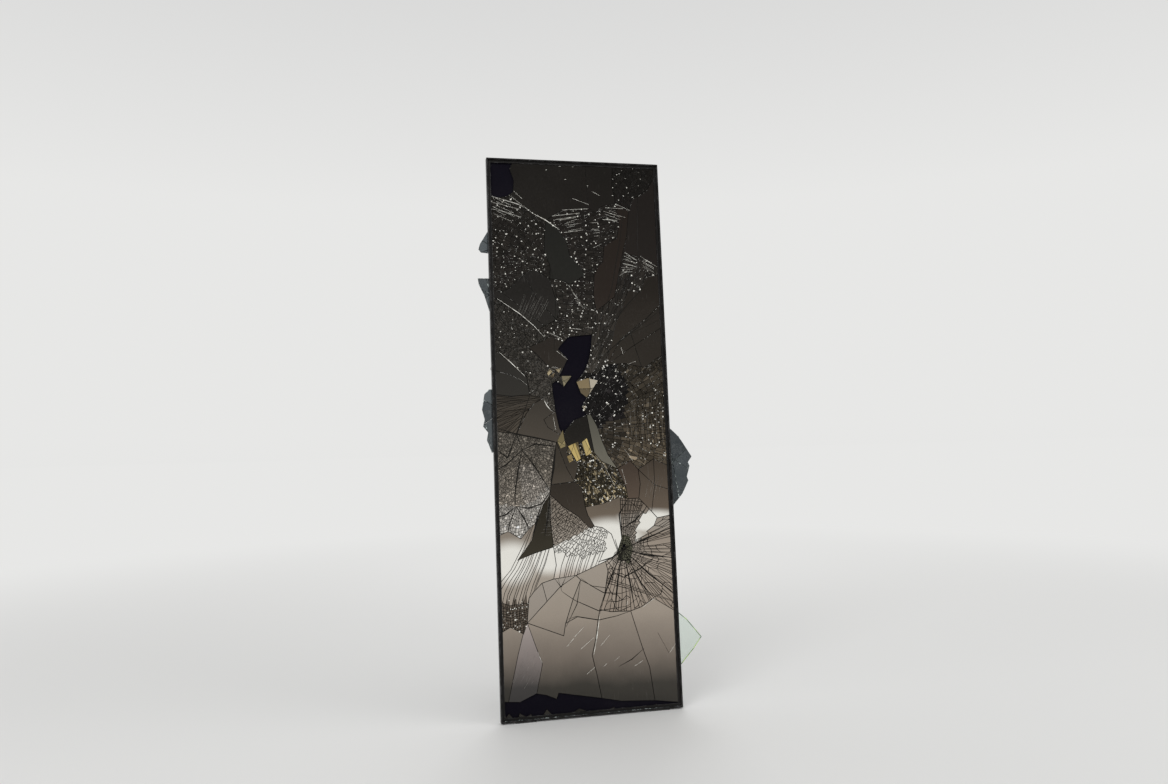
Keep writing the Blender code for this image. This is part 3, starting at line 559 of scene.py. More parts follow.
def back_outline(node):
    """The outline of a glass node's flat back."""
    mesh = NODES[node].data
    points = [p - ORIGIN for p in node_points(node)]
    deepest = max(p.y for p in points)
    keys = [(round(p.x, 5), round(p.z, 5)) if deepest - p.y < SAME_PLACE else None for p in points]
    edges = {}
    for polygon in mesh.polygons:
        corners = [keys[i] for i in polygon.vertices]
        if None in corners:
            continue
        for a, b in zip(corners, corners[1:] + corners[:1]):
            if (b, a) in edges:
                del edges[(b, a)]
            else:
                edges[(a, b)] = True
    following = dict(edges.keys())
    start = next(iter(following))
    outline = [start]
    while following[outline[-1]] != start:
        outline.append(following[outline[-1]])
    loop = [Vector(key) for key in outline]
    return loop if area(loop) > 0 else loop[::-1]


def area(outline):
    pairs = zip(outline, outline[1:] + outline[:1])
    return sum(a.x * b.y - b.x * a.y for a, b in pairs) / 2


def centre(outline):
    """The middle of an outline's area."""
    total = Vector((0, 0))
    whole = 0.0
    first = outline[0]
    for a, b in zip(outline[1:], outline[2:]):
        part = (a - first).cross(b - first)
        total += (first + a + b) / 3 * part
        whole += part
    return total / whole if abs(whole) > 0 else first


def holds(outline, spot):
    """True where the spot lies inside the outline."""
    inside = False
    for a, b in zip(outline, outline[1:] + outline[:1]):
        if (a.y > spot.y) != (b.y > spot.y):
            if spot.x < a.x + (spot.y - a.y) * (b.x - a.x) / (b.y - a.y):
                inside = not inside
    return inside


def drawn_in(outline, distance):
    """The outline moved inward by a distance on every side, with sharp corners held back."""
    longest = 3.0
    tiny = 1e-6
    moved = []
    for before, here, after in zip(outline[-1:] + outline[:-1], outline, outline[1:] + outline[:1]):
        first = (here - before).normalized()
        second = (after - here).normalized()
        both = Vector((-first.y - second.y, first.x + second.x))
        moved.append(here + both * distance * min(longest, 2 / max(both.length_squared, tiny)))
    return moved


def without_short_edges(outline):
    kept = []
    for spot in outline:
        if not kept or (spot - kept[-1]).length > SHORTEST_EDGE:
            kept.append(spot)
    while len(kept) > 2 and (kept[0] - kept[-1]).length <= SHORTEST_EDGE:
        kept.pop()
    return kept


def without_turned_edges(outline, inset):
    """The outline without the short edges that would turn over when it is drawn in."""
    kept = list(outline)
    while len(kept) > 3:
        inner = drawn_in(kept, inset)
        turned = []
        for i in range(len(kept)):
            j = (i + 1) % len(kept)
            edge = kept[j] - kept[i]
            if edge.dot(inner[j] - inner[i]) <= 0:
                turned.append((edge.length, i))
        if not turned:
            break
        kept.pop(min(turned)[1])
    return kept


def without_spurs(cell):
    """A cell without the crack ends that stop inside it."""
    kept = list(cell)
    i = 0
    while i < len(kept) and len(kept) > 3:
        j = (i + 1) % len(kept)
        if (kept[i - 1] - kept[j]).length < SAME_PLACE:
            kept = [p for k, p in enumerate(kept) if k not in (i, j)]
            i = 0
        elif (kept[i] - kept[i - 1]).length < SAME_PLACE:
            kept.pop(i)
            i = 0
        else:
            i += 1
    return kept


def lengthened(line):
    """A crack line run on a little at both ends, so that it meets the outline that it stops at."""
    more = 0.004
    first = line[0] + (line[0] - line[1]).normalized() * more
    last = line[-1] + (line[-1] - line[-2]).normalized() * more
    return [first, *line[1:-1], last]


def family(first, last, count, rng):
    """Crack lines spaced from a first line to a last one, each a little off its place."""
    stray = 0.0014
    lines = []
    for k in range(count):
        share = (k + rng.uniform(0.1, 0.9)) / count
        line = []
        for a, b in zip(first, last):
            off = Vector((rng.uniform(-stray, stray), rng.uniform(-stray, stray)))
            line.append(on_sheet(a).lerp(on_sheet(b), share) + off)
        lines.append(line)
    return lines


def split_along(outline, lines):
    """The cells that crack lines cut an outline into."""
    points = []
    edges = []
    for line in [outline + outline[:1], *lines]:
        start = len(points)
        points += line
        edges += [(start + i, start + i + 1) for i in range(len(line) - 1)]
    output_type = 3
    places, _, faces, *_ = delaunay_2d_cdt(points, edges, [], output_type, SAME_PLACE)
    cells = []
    for face in faces:
        cell = without_spurs([places[i] for i in face])
        if area(cell) < 0:
            cell.reverse()
        if holds(outline, inner_spot(cell)):
            cells.append(cell)
    return cells


def inner_spot(cell):
    """A spot inside a cell, also where the cell bends round a hollow."""
    flat = [[(p.x, p.y, 0) for p in cell]]
    parts = [[cell[i] for i in corners] for corners in tessellate_polygon(flat)]
    return centre(max(parts, key=lambda part: abs(area(part))))


def patch_at(node, spot):
    """The patch of a node that holds a spot, if there is one."""
    for patch in PATCHES.get(node, []):
        if holds([on_sheet(corner) for corner in patch.outline], spot):
            return patch
    return None


def short_of_patches(node, lines):
    """The parts of crack lines that don't run through a patch that stays whole."""
    kept = []
    for line in lines:
        for a, b in zip(line, line[1:]):
            patch = patch_at(node, (a + b) / 2)
            if not (patch and patch.whole):
                kept.append([a, b])
    return kept


def mosaic(outline, hub, long, wide, jitter, rng):
    """Crack lines that cut the outline's box into cells which run out from the hub."""
    across = [p.x for p in outline]
    up = [p.y for p in outline]
    low = Vector((min(across), min(up)))
    high = Vector((max(across), max(up)))
    waiting = [[low, Vector((high.x, low.y)), high, Vector((low.x, high.y))]]
    lines = []
    largest = 1.25
    while waiting:
        cell = waiting.pop()
        middle = centre(cell)
        run = (middle - hub).normalized()
        along = [run.dot(p) for p in cell]
        aside = [run.cross(p) for p in cell]
        length = (max(along) - min(along)) / long
        width = (max(aside) - min(aside)) / wide
        if max(length, width) < largest:
            lines.append(cell + cell[:1])
            continue
        lengthwise = length > width
        heading = run if lengthwise else Vector((-run.y, run.x))
        turn = rng.uniform(-jitter, jitter)
        normal = (heading + turn * Vector((-heading.y, heading.x))).normalized()
        shift = rng.uniform(-jitter, jitter) * (long if lengthwise else wide)
        halves = cut_cell(cell, middle + heading * shift, normal)
        waiting += [half for half in halves if len(half) > 2]
    return lines


def straight_breaks(outline, count, rng):
    """Straight crack lines right across an outline, in scattered directions."""
    middle = centre(outline)
    reach = max((p - middle).length for p in outline)
    lines = []
    for k in range(count):
        turn = math.pi * (k + rng.uniform(0.2, 0.8)) / count
        along = Vector((math.cos(turn), math.sin(turn)))
        aside = Vector((-along.y, along.x)) * reach * rng.uniform(-0.35, 0.35)
        lines.append([middle + aside - along * 2 * reach, middle + aside + along * 2 * reach])
    return lines


def cut_cell(cell, spot, normal):
    """The two parts of a convex cell on either side of a line."""
    sides = [normal.dot(p - spot) for p in cell]
    near = []
    far = []
    for i, p in enumerate(cell):
        j = (i + 1) % len(cell)
        (near if sides[i] < 0 else far).append(p)
        if (sides[i] < 0) != (sides[j] < 0):
            crossing = p.lerp(cell[j], sides[i] / (sides[i] - sides[j]))
            near.append(crossing)
            far.append(crossing)
    return near, far


def web(hub, first, step, growth, spokes, widest, reach, rng):
    """Crack lines of a web: spokes that fork as they spread, and the straight links between them."""
    linked_share = 0.86
    sway = 0.12
    turns = sorted(math.tau * (k + rng.uniform(-0.3, 0.3)) / spokes for k in range(spokes))
    inner = [hub.copy() for _ in turns]
    radius = first
    lines = []
    while radius < reach:
        outer = [
            hub + radius * rng.uniform(1 - sway, 1 + sway) * Vector((math.cos(t), math.sin(t)))
            for t in turns
        ]
        lines += [[a, b] for a, b in zip(inner, outer)]
        next_turns = []
        starts = []
        for i, turn in enumerate(turns):
            j = (i + 1) % len(turns)
            next_turns.append(turn + rng.uniform(-0.02, 0.02))
            starts.append(outer[i])
            if rng.random() > linked_share:
                continue
            lines.append([outer[i], outer[j]])
            gap = (turns[j] - turn) % math.tau
            if gap * radius > widest:
                share = rng.uniform(0.35, 0.65)
                next_turns.append(turn + gap * share)
                starts.append(outer[i].lerp(outer[j], share))
        turns = next_turns
        inner = starts
        radius += max(step, radius * growth)
    return lines


# Meshes


def grey(value):
    return (value, value, value, 0.0)


def toned(tone_and_reflection, tone):
    """A tone and its painted reflection made brighter or darker, which shows as much of the painted glare."""
    return [*(c * tone for c in tone_and_reflection[:3]), tone_and_reflection[3]]


def linked(name, data):
    """A new object of the scene that holds the data."""
    made = bpy.data.objects.new(name, data)
    bpy.context.scene.collection.objects.link(made)
    return made


class Shell:
    """Collects a piece's closed bodies, with a material index and a tone and painted reflection for each
    face.
    """

    def __init__(self):
        self.points = []
        self.faces = []
        self.indices = []
        self.tones_and_reflections = []
        self.glints = []

    def add(self, rings, tone_and_reflection, caps=(0, 1), side=1, glint=0.0):
        """A body through rings, front ring first. Rings are lists of panel places."""
        start = len(self.points)
        count = len(rings[0])
        for ring in rings:
            self.points += [placed(*place) for place in ring]
        self.face([start + i for i in range(count)], caps[0], tone_and_reflection, glint)
        for level in range(len(rings) - 1):
            near = start + level * count
            far = near + count
            for i in range(count):
                j = (i + 1) % count
                self.face([near + j, near + i, far + i, far + j], side, tone_and_reflection, glint)
        last = start + (len(rings) - 1) * count
        self.face([last + i for i in reversed(range(count))], caps[1], tone_and_reflection, glint)

    def face(self, corners, index, tone_and_reflection, glint):
        self.faces.append(corners)
        self.indices.append(index)
        self.tones_and_reflections += tone_and_reflection
        self.glints.append(glint)

    def build(self, name, materials, body="mirror"):
        """The finished piece, riding on its body."""
        mesh = bpy.data.meshes.new(name)
        mesh.from_pydata(self.points, [], self.faces)
        for material in materials:
            mesh.materials.append(material)
        mesh.polygons.foreach_set("material_index", self.indices)
        tone_and_reflection = mesh.attributes.new("tone_and_reflection", "FLOAT_COLOR", "FACE")
        tone_and_reflection.data.foreach_set("color", self.tones_and_reflections)
        glint = mesh.attributes.new("glint", "FLOAT", "FACE")
        glint.data.foreach_set("value", self.glints)
        mesh.update()
        made = linked(name, mesh)
        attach(made, body)
        return made

    def stand_for(self, node, looks):
        """Build the piece that replaces a glass node."""
        piece = self.build(f"{node}_glass", [finish(look) for look in looks])
        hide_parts(node)


def add_cell(shell, cell, front, back, tone_and_reflection, tilt, wide=1.0, caps=(0, 1), glint=0.0):
    """One cell of glass as a closed body: a worn edge round its front, and its face leaning by tilt."""
    glass = settings()
    cell = without_short_edges(drawn_in(cell, glass.crack / 2))
    if len(cell) < 3 or area(cell) < SMALLEST_CELL:
        return
    around = sum((a - b).length for a, b in zip(cell, cell[1:] + cell[:1]))
    reach = 2 * area(cell) / around
    inset = min(glass.groove * wide, 0.3 * reach)
    depth = min(glass.groove_depth, 0.9 * inset + 0.0002)
    cell = without_turned_edges(cell, inset)
    face = drawn_in(cell, inset)
    lean = [tilt.dot(p) for p in face]
    spread = max(lean) - min(lean)
    most = depth * 0.8
    eased = min(1.0, most / spread) if spread > 0 else 1.0
    fronts = [(y - min(lean)) * eased for y in lean]
    shell.add(
        [
            [(p.x, front + y, p.y) for p, y in zip(face, fronts)],
            [(p.x, front + depth, p.y) for p in cell],
            [(p.x, back, p.y) for p in cell],
        ],
        tone_and_reflection,
        caps=caps,
        glint=glint,
    )


def random_tilt(rng, most):
    """A lean as a slope in X and Z, up to the given angle."""
    turn = rng.uniform(0, math.tau)
    slope = math.tan(most) * math.sqrt(rng.random())
    return Vector((math.cos(turn) * slope, math.sin(turn) * slope))


def needle(shell, line, half_width, front=GLASS_FRONT):
    """A fine split: a low ridge along a line that thins to a point at both ends."""
    proud = 0.00012
    sunk = 0.0001
    spots = [Vector(p) for p in line]
    total = sum((a - b).length for a, b in zip(spots, spots[1:]))
    gone = 0.0
    for a, b in zip(spots, spots[1:]):
        run = (b - a).normalized()
        aside = Vector((-run.y, run.x))
        length = (b - a).length
        wide_a = half_width * math.sin(math.pi * min(0.9, max(0.1, gone / total)))
        gone += length
        wide_b = half_width * math.sin(math.pi * min(0.9, max(0.1, gone / total)))
        flat = [a - aside * wide_a, b - aside * wide_b, b + aside * wide_b, a + aside * wide_a]
        rings = [
            [(p.x, front - proud, p.y) for p in drawn_in(flat, min(wide_a, wide_b) * 0.4)],
            [(p.x, front + sunk, p.y) for p in flat],
        ]
        shell.add(rings, grey(1.0), caps=(0, 0), side=0)


# Node trees


class Tree:
    """Adds nodes to a node tree, with their settings and what feeds them, one call each."""

    def __init__(self, tree):
        self.tree = tree

    def add(self, kind, feeds=None, **values):
        node = self.tree.nodes.new(kind)
        for name, value in values.items():
            setattr(node, name, value)
        for key, value in (feeds or {}).items():
            self.feed(node.inputs[key], value)
        return node

    def feed(self, socket, value):
        if isinstance(value, bpy.types.NodeSocket):
            self.tree.links.new(value, socket)
        else:
            socket.default_value = value

    def math(self, operation, a, b=0.0, clamp=False):
        node = self.add("ShaderNodeMath", {0: a, 1: b}, operation=operation, use_clamp=clamp)
        return node.outputs[0]

    def mix(self, share, a, b, blend="MIX"):
        """A mix of two colours."""
        node = self.add("ShaderNodeMix", data_type="RGBA", blend_type=blend)
        self.feed(node.inputs[0], share)
        self.feed(node.inputs[6], a)
        self.feed(node.inputs[7], b)
        return node.outputs[2]

    def noise(self, place, scale, detail=3.0, rough=0.55):
        node = self.add(
            "ShaderNodeTexNoise", {"Vector": place, "Scale": scale, "Detail": detail, "Roughness": rough}
        )
        return node.outputs["Fac"]

    def stretched(self, place, scale, turn=(0.0, 0.0, 0.0)):
        node = self.add("ShaderNodeMapping", {"Vector": place, "Scale": scale, "Rotation": turn})
        return node.outputs[0]

    def ramp(self, value, stops):
        """A colour ramp through (place, colour) stops."""
        node = self.add("ShaderNodeValToRGB", {0: value})
        elements = node.color_ramp.elements
        while len(elements) < len(stops):
            elements.new(0.5)
        for element, (place, colour) in zip(elements, stops):
            element.position = place
            element.color = (*colour, 1) if len(colour) == 3 else colour
        return node.outputs[0]

    def window(self, value, low, high):
        """0 below low, 1 above high and smooth between."""
        node = self.add("ShaderNodeMapRange", {0: value, 1: low, 2: high}, interpolation_type="SMOOTHSTEP")
        return node.outputs[0]


def shader_group(name, inputs, outputs):
    """A new shader group with named sockets: (kind, name, default) in, (kind, name) out."""
    group = bpy.data.node_groups.new(name, "ShaderNodeTree")
    for kind, label, default in inputs:
        socket = group.interface.new_socket(label, in_out="INPUT", socket_type=kind)
        socket.default_value = default
    for kind, label in outputs:
        group.interface.new_socket(label, in_out="OUTPUT", socket_type=kind)
    tree = Tree(group)
    return group, tree, tree.add("NodeGroupInput").outputs, tree.add("NodeGroupOutput").inputs


def object_place(tree):
    return tree.add("ShaderNodeTexCoord").outputs["Object"]


def make_wear_group():
    """Rubbed corners: where the surface turns sharply, broken up by noise."""
    group, tree, given, out = shader_group(
        "Rubbed edges",
        [("NodeSocketFloat", "Width", 0.001), ("NodeSocketFloat", "Scale", 60.0),
         ("NodeSocketFloat", "Amount", 0.5)],
        [("NodeSocketFloat", "Mask")],
    )
    rounded = tree.add("ShaderNodeBevel", {"Radius": given["Width"]}, samples=4)
    flat = tree.add("ShaderNodeNewGeometry")
    together = tree.add(
        "ShaderNodeVectorMath", {0: rounded.outputs[0], 1: flat.outputs["Normal"]}, operation="DOT_PRODUCT"
    )
    edge = tree.math("SUBTRACT", 1.0, together.outputs["Value"])
    edge = tree.math("MULTIPLY", edge, 9.0, clamp=True)
    spots = tree.window(tree.noise(object_place(tree), given["Scale"], 5.0), 0.42, 0.62)
    tree.feed(out["Mask"], tree.math("MULTIPLY", tree.math("MULTIPLY", edge, spots), given["Amount"]))
    return group


def make_dust_group():
    """Settled dust and wiped smears."""
    group, tree, given, out = shader_group(
        "Dust and smears",
        [("NodeSocketFloat", "Scale", 6.0), ("NodeSocketFloat", "Amount", 0.5)],
        [("NodeSocketFloat", "Dust"), ("NodeSocketFloat", "Smear")],
    )
    place = object_place(tree)
    cloud = tree.window(tree.noise(place, given["Scale"], 6.0, 0.62), 0.40, 0.75)
    grain = tree.window(tree.noise(place, 420.0, 2.0), 0.35, 0.80)
    dust = tree.math("MULTIPLY", tree.math("ADD", tree.math("MULTIPLY", cloud, 0.7), 0.3), grain)
    tree.feed(out["Dust"], tree.math("MULTIPLY", dust, given["Amount"]))
    long_place = tree.stretched(place, (5.0, 5.0, 1.2), (0.0, 0.5, 0.0))
    tree.feed(out["Smear"], tree.window(tree.noise(long_place, given["Scale"], 4.0), 0.35, 0.70))
    return group


def make_scratch_group():
    """Fine straight scratches in two directions, as a mask."""
    group, tree, given, out = shader_group(
        "Fine scratches",
        [("NodeSocketFloat", "Scale", 20.0), ("NodeSocketFloat", "Amount", 0.5)],
        [("NodeSocketFloat", "Mask")],
    )
    place = object_place(tree)
    masks = []
    for turn in (0.35, -0.8):
        narrow = tree.stretched(place, (14.0, 14.0, 0.5), (0.0, turn, 0.0))
        masks.append(tree.window(tree.noise(narrow, given["Scale"], 2.0), 0.68, 0.74))
    both = tree.math("MAXIMUM", masks[0], masks[1])
    broken = tree.window(tree.noise(place, 9.0, 2.0), 0.45, 0.65)
    tree.feed(out["Mask"], tree.math("MULTIPLY", tree.math("MULTIPLY", both, broken), given["Amount"]))
    return group


def make_painted_reflection_group():
    """The reflection painted into the silver, a bright band low down that darkens up the sheet, and the
    painted glare: its colour, how far up the glass a point is, and the glare.
    """
    group, tree, given, out = shader_group(
        "Painted reflection",
        [("NodeSocketFloat", "Clouds", 0.5)],
        [("NodeSocketColor", "Colour"), ("NodeSocketFloat", "Height"), ("NodeSocketFloat", "Glare")],
    )
    place = object_place(tree)
    height = tree.add("ShaderNodeSeparateXYZ", {0: place}).outputs["Z"]
    cloud = tree.noise(place, CLOUD_SCALE, 4.0, 0.6)
    sway = tree.math("MULTIPLY", tree.math("SUBTRACT", cloud, 0.5), given["Clouds"])
    share = tree.math("DIVIDE", tree.math("ADD", height, sway), 1.63, clamp=True)
    # Painted reflection: dark at the foot, a bright band low down, darkening to near black up the sheet
    colour = tree.ramp(share, [
        (0.00, (0.045, 0.042, 0.037)),
        (0.055, (0.060, 0.055, 0.047)),
        (0.10, (0.22, 0.185, 0.155)),
        (0.17, (0.38, 0.325, 0.27)),
        (0.26, (0.45, 0.395, 0.335)),
        (0.34, (0.25, 0.21, 0.17)),
        (0.44, (0.105, 0.088, 0.070)),
        (0.56, (0.046, 0.040, 0.033)),
        (0.75, (0.022, 0.019, 0.016)),
        (1.00, (0.015, 0.013, 0.011)),
    ])
    # Painted glare: bright ovals of reflected light at the given spots
    glare = 0.0
    for middle, size, turn in PAINTED_GLARES:
        spot = on_sheet(middle)
        centred = tree.add("ShaderNodeVectorMath", {0: place, 1: placed(spot.x, GLASS_FRONT, spot.y)},
                           operation="SUBTRACT")
        across, up = size
        oval = tree.add("ShaderNodeMapping", {
            "Vector": centred.outputs[0], "Rotation": (0.0, turn, 0.0), "Scale": (1 / across, 0.0, 1 / up),
        }, vector_type="POINT")
        reach = tree.add("ShaderNodeVectorMath", {0: oval.outputs[0]}, operation="LENGTH").outputs["Value"]
        glare = tree.math("MAXIMUM", glare, tree.window(tree.math("ADD", reach, sway), 1.25, 0.55))
    tree.feed(out["Colour"], colour)
    tree.feed(out["Height"], share)
    tree.feed(out["Glare"], glare)
    return group


GROUP_MAKERS = {
    "Rubbed edges": make_wear_group,
    "Dust and smears": make_dust_group,
    "Fine scratches": make_scratch_group,
    "Painted reflection": make_painted_reflection_group,
}


def use_group(tree, name, **feeds):
    """A shared shader group, built on its first use."""
    group = bpy.data.node_groups.get(name) or GROUP_MAKERS[name]()
    node = tree.add("ShaderNodeGroup")
    node.node_tree = group
    for label, value in feeds.items():
        tree.feed(node.inputs[label], value)
    return node.outputs


def new_material(name):
    """An empty material with its shader, and the tree to build on."""
    material = bpy.data.materials.new(name)
    material.use_nodes = True
    shader = material.node_tree.nodes["Principled BSDF"]
    return material, Tree(material.node_tree), shader


def bump(tree, shader, height, strength, distance=0.001):
    node = tree.add("ShaderNodeBump", {"Strength": strength, "Distance": distance, "Height": height})
    tree.feed(shader.inputs["Normal"], node.outputs[0])


def satin_paint():
    """Satin black paint: fine orange peel, dust, scratches, and bare metal at the corners."""
    material, tree, shader = new_material("satin_black_paint")
    place = object_place(tree)
    paint = (*finishes().frame_paint, 1)
    wear = use_group(tree, "Rubbed edges", Width=0.0009, Scale=45.0, Amount=0.7)["Mask"]
    dust = use_group(tree, "Dust and smears", Scale=5.0, Amount=0.14)
    scratch = use_group(tree, "Fine scratches", Scale=26.0, Amount=0.5)["Mask"]
    shade = tree.mix(tree.noise(place, 7.0), paint, tuple(c * 2.2 for c in paint[:3]) + (1,))
    shade = tree.mix(scratch, shade, (0.09, 0.09, 0.09, 1))
    shade = tree.mix(dust["Dust"], shade, (0.16, 0.145, 0.13, 1))
    tree.feed(shader.inputs["Base Color"], tree.mix(wear, shade, (0.34, 0.34, 0.35, 1)))
    tree.feed(shader.inputs["Metallic"], wear)
    rough = tree.math("ADD", 0.30, tree.math("MULTIPLY", dust["Smear"], 0.16))
    tree.feed(shader.inputs["Roughness"], tree.math("ADD", rough, tree.math("MULTIPLY", dust["Dust"], 0.5)))
    bump(tree, shader, tree.noise(place, 900.0, 2.0), 0.12, 0.0004)
    shader.inputs["Specular IOR Level"].default_value = 0.15
    return material


def board_fibre():
    """Black hardboard with a felted surface."""
    material, tree, shader = new_material("black_fibre_board")
    place = object_place(tree)
    base = (*finishes().board, 1)
    fibre = tree.noise(tree.stretched(place, (1.0, 1.0, 3.0)), 260.0, 4.0, 0.7)
    blotch = tree.window(tree.noise(place, 4.0, 5.0), 0.35, 0.75)
    shade = tree.mix(fibre, base, tuple(c * 2.4 for c in base[:3]) + (1,))
    shade = tree.mix(tree.math("MULTIPLY", blotch, 0.45), shade, (0.009, 0.008, 0.012, 1))
    dust = use_group(tree, "Dust and smears", Scale=8.0, Amount=0.05)["Dust"]
    tree.feed(shader.inputs["Base Color"], tree.mix(dust, shade, (0.15, 0.14, 0.13, 1)))
    tree.feed(shader.inputs["Roughness"], tree.math("ADD", 0.62, tree.math("MULTIPLY", fibre, 0.25)))
    bump(tree, shader, fibre, 0.35, 0.0006)
    shader.inputs["Specular IOR Level"].default_value = 0.04
    return material


def silvered_glass():
    """Mirror silver behind dusty glass, with its reflection and glare painted into its colour."""
    material, tree, shader = new_material("mirror_painted_reflection")
    place = object_place(tree)
    painted_reflection = use_group(tree, "Painted reflection", Clouds=0.10)
    dust = use_group(tree, "Dust and smears", Scale=5.0, Amount=0.10)
    scratch = use_group(tree, "Fine scratches", Scale=22.0, Amount=0.12)["Mask"]
    tone_and_reflection = tree.add("ShaderNodeAttribute", attribute_name="tone_and_reflection").outputs
    shade = tree.mix(1.0, painted_reflection["Colour"], tone_and_reflection["Color"], "MULTIPLY")
    # Painted glare: the silver turns near white where a glare oval lies
    glare = tree.math("MULTIPLY", painted_reflection["Glare"], tone_and_reflection["Alpha"])
    shade = tree.mix(glare, shade, (0.92, 0.90, 0.84, 1))
    shade = tree.mix(tree.math("MULTIPLY", dust["Dust"], 0.7), shade, (0.24, 0.22, 0.20, 1))
    tree.feed(shader.inputs["Base Color"], tree.mix(scratch, shade, (0.45, 0.43, 0.40, 1)))
    tree.feed(shader.inputs["Metallic"], tree.math("SUBTRACT", 1.0, tree.math("MULTIPLY", dust["Dust"], 0.8)))
    rough = tree.math("ADD", 0.045, tree.math("MULTIPLY", dust["Smear"], 0.07))
    tree.feed(shader.inputs["Roughness"], tree.math("ADD", rough, tree.math("MULTIPLY", dust["Dust"], 0.3)))
    shader.inputs["Coat Weight"].default_value = 0.12
    shader.inputs["Coat Roughness"].default_value = 0.02
    bump(tree, shader, tree.noise(place, 16.0, 2.0), 0.10, 0.002)
    return material


def fractured_edge():
    """The crushed edges of cracks, near black, with glints painted on those that face upward: brighter
    where they stand in the dark glass high up, fainter low down where the glass is bright.
    """
    material, tree, shader = new_material("fractured_edge")
    place = object_place(tree)
    height = use_group(tree, "Painted reflection", Clouds=0.10)["Height"]
    bright_part = tree.window(height, 0.34, 0.46)
    amount = tree.add("ShaderNodeAttribute", attribute_name="glint").outputs["Fac"]
    facing = tree.add("ShaderNodeNewGeometry").outputs["Normal"]
    # Painted light: edges that face upward, toward the lamps above, get the glints
    upward = tree.window(tree.add("ShaderNodeSeparateXYZ", {0: facing}).outputs["Z"], 0.12, 0.55)
    speckle = tree.window(tree.noise(place, 95.0, 3.0, 0.7), 0.53, 0.62)
    glint = tree.math("MULTIPLY", tree.math("MULTIPLY", speckle, upward), amount)
    upper = tree.mix(glint, (0.010, 0.009, 0.008, 1), (0.85, 0.84, 0.80, 1))
    lower = tree.mix(tree.math("MULTIPLY", glint, 0.35), (0.010, 0.009, 0.008, 1), (0.60, 0.58, 0.54, 1))
    tree.feed(shader.inputs["Base Color"], tree.mix(bright_part, lower, upper))
    tree.feed(shader.inputs["Roughness"], tree.math("ADD", 0.25, tree.math("MULTIPLY", glint, 0.2)))
    shader.inputs["Specular IOR Level"].default_value = 0.12
    return material


def grained(name, dull, bright, scale, rough, window=None, grit=0.55, specular=0.5):
    """A finish of two tones that a grain mixes, rougher where it is bright."""
    material, tree, shader = new_material(name)
    grain = tree.noise(object_place(tree), scale, 3.0, grit)
    if window:
        grain = tree.window(grain, *window)
    least, more = rough
    tree.feed(shader.inputs["Base Color"], tree.mix(grain, (*dull, 1), (*bright, 1)))
    tree.feed(shader.inputs["Roughness"], tree.math("ADD", least, tree.math("MULTIPLY", grain, more)))
    shader.inputs["Specular IOR Level"].default_value = specular
    return material


def faint_stroke():
    """Shallow grey splits inside dark glass."""
    return grained("faint_stroke", (0.06, 0.055, 0.05), (0.24, 0.23, 0.21), 60.0, (0.3, 0.2), (0.35, 0.65))


def dark_crack():
    """The open mouth of a heavy crack, its shade painted near black."""
    dull, bright = (0.004, 0.004, 0.003), (0.018, 0.016, 0.014)
    return grained("dark_crack", dull, bright, 120.0, (0.5, 0.3), specular=0.08)


def bright_split():
    """Hairline splits and specks that catch the light."""
    dull, bright = (0.38, 0.36, 0.32), (0.88, 0.87, 0.80)
    return grained("bright_split", dull, bright, 60.0, (0.2, 0.2), (0.38, 0.56), 0.7)


def sliver_face():
    """The blue-grey glass of the shards that stick out from behind the frame."""
    material, tree, shader = new_material("sliver_glass")
    place = object_place(tree)
    dust = use_group(tree, "Dust and smears", Scale=14.0, Amount=0.4)
    tone = tree.add("ShaderNodeAttribute", attribute_name="tone_and_reflection").outputs["Fac"]
    shade = tree.mix(tone, (0.028, 0.034, 0.038, 1), (0.15, 0.17, 0.18, 1))
    shade = tree.mix(dust["Dust"], shade, (0.30, 0.31, 0.31, 1))
    tree.feed(shader.inputs["Base Color"], shade)
    dulled = tree.math("MULTIPLY", dust["Dust"], 0.7)
    tree.feed(shader.inputs["Metallic"], tree.math("SUBTRACT", 0.85, dulled))
    tree.feed(shader.inputs["Roughness"], tree.math("ADD", 0.08, tree.math("MULTIPLY", dust["Smear"], 0.14)))
    bump(tree, shader, tree.noise(place, 30.0, 2.0), 0.12, 0.001)
    return material


def sliver_edge():
    """Broken edge of thick glass, pale with a green cast."""
    dull, bright = (0.02, 0.028, 0.028), (0.55, 0.62, 0.60)
    return grained("sliver_edge", dull, bright, 70.0, (0.15, 0.15), (0.50, 0.64), 0.7)


def clear_face():
    """Clear glass with a faint green body."""
    material, tree, shader = new_material("clear_glass")
    dust = use_group(tree, "Dust and smears", Scale=14.0, Amount=0.3)
    tree.feed(shader.inputs["Base Color"], tree.mix(dust["Dust"], (0.86, 0.94, 0.88, 1), (0.6, 0.6, 0.57, 1)))
    tree.feed(shader.inputs["Roughness"], tree.math("ADD", 0.03, tree.math("MULTIPLY", dust["Smear"], 0.12)))
    shader.inputs["Transmission Weight"].default_value = 1.0
    shader.inputs["IOR"].default_value = 1.5
    return material


def lit_edge():
    """The clear shard's edge, yellow-green where it gathers light."""
    green = tuple(finishes().edge_green)
    return grained("lit_green_edge", (0.05, 0.11, 0.05), green, 45.0, (0.12, 0.1), (0.36, 0.62))


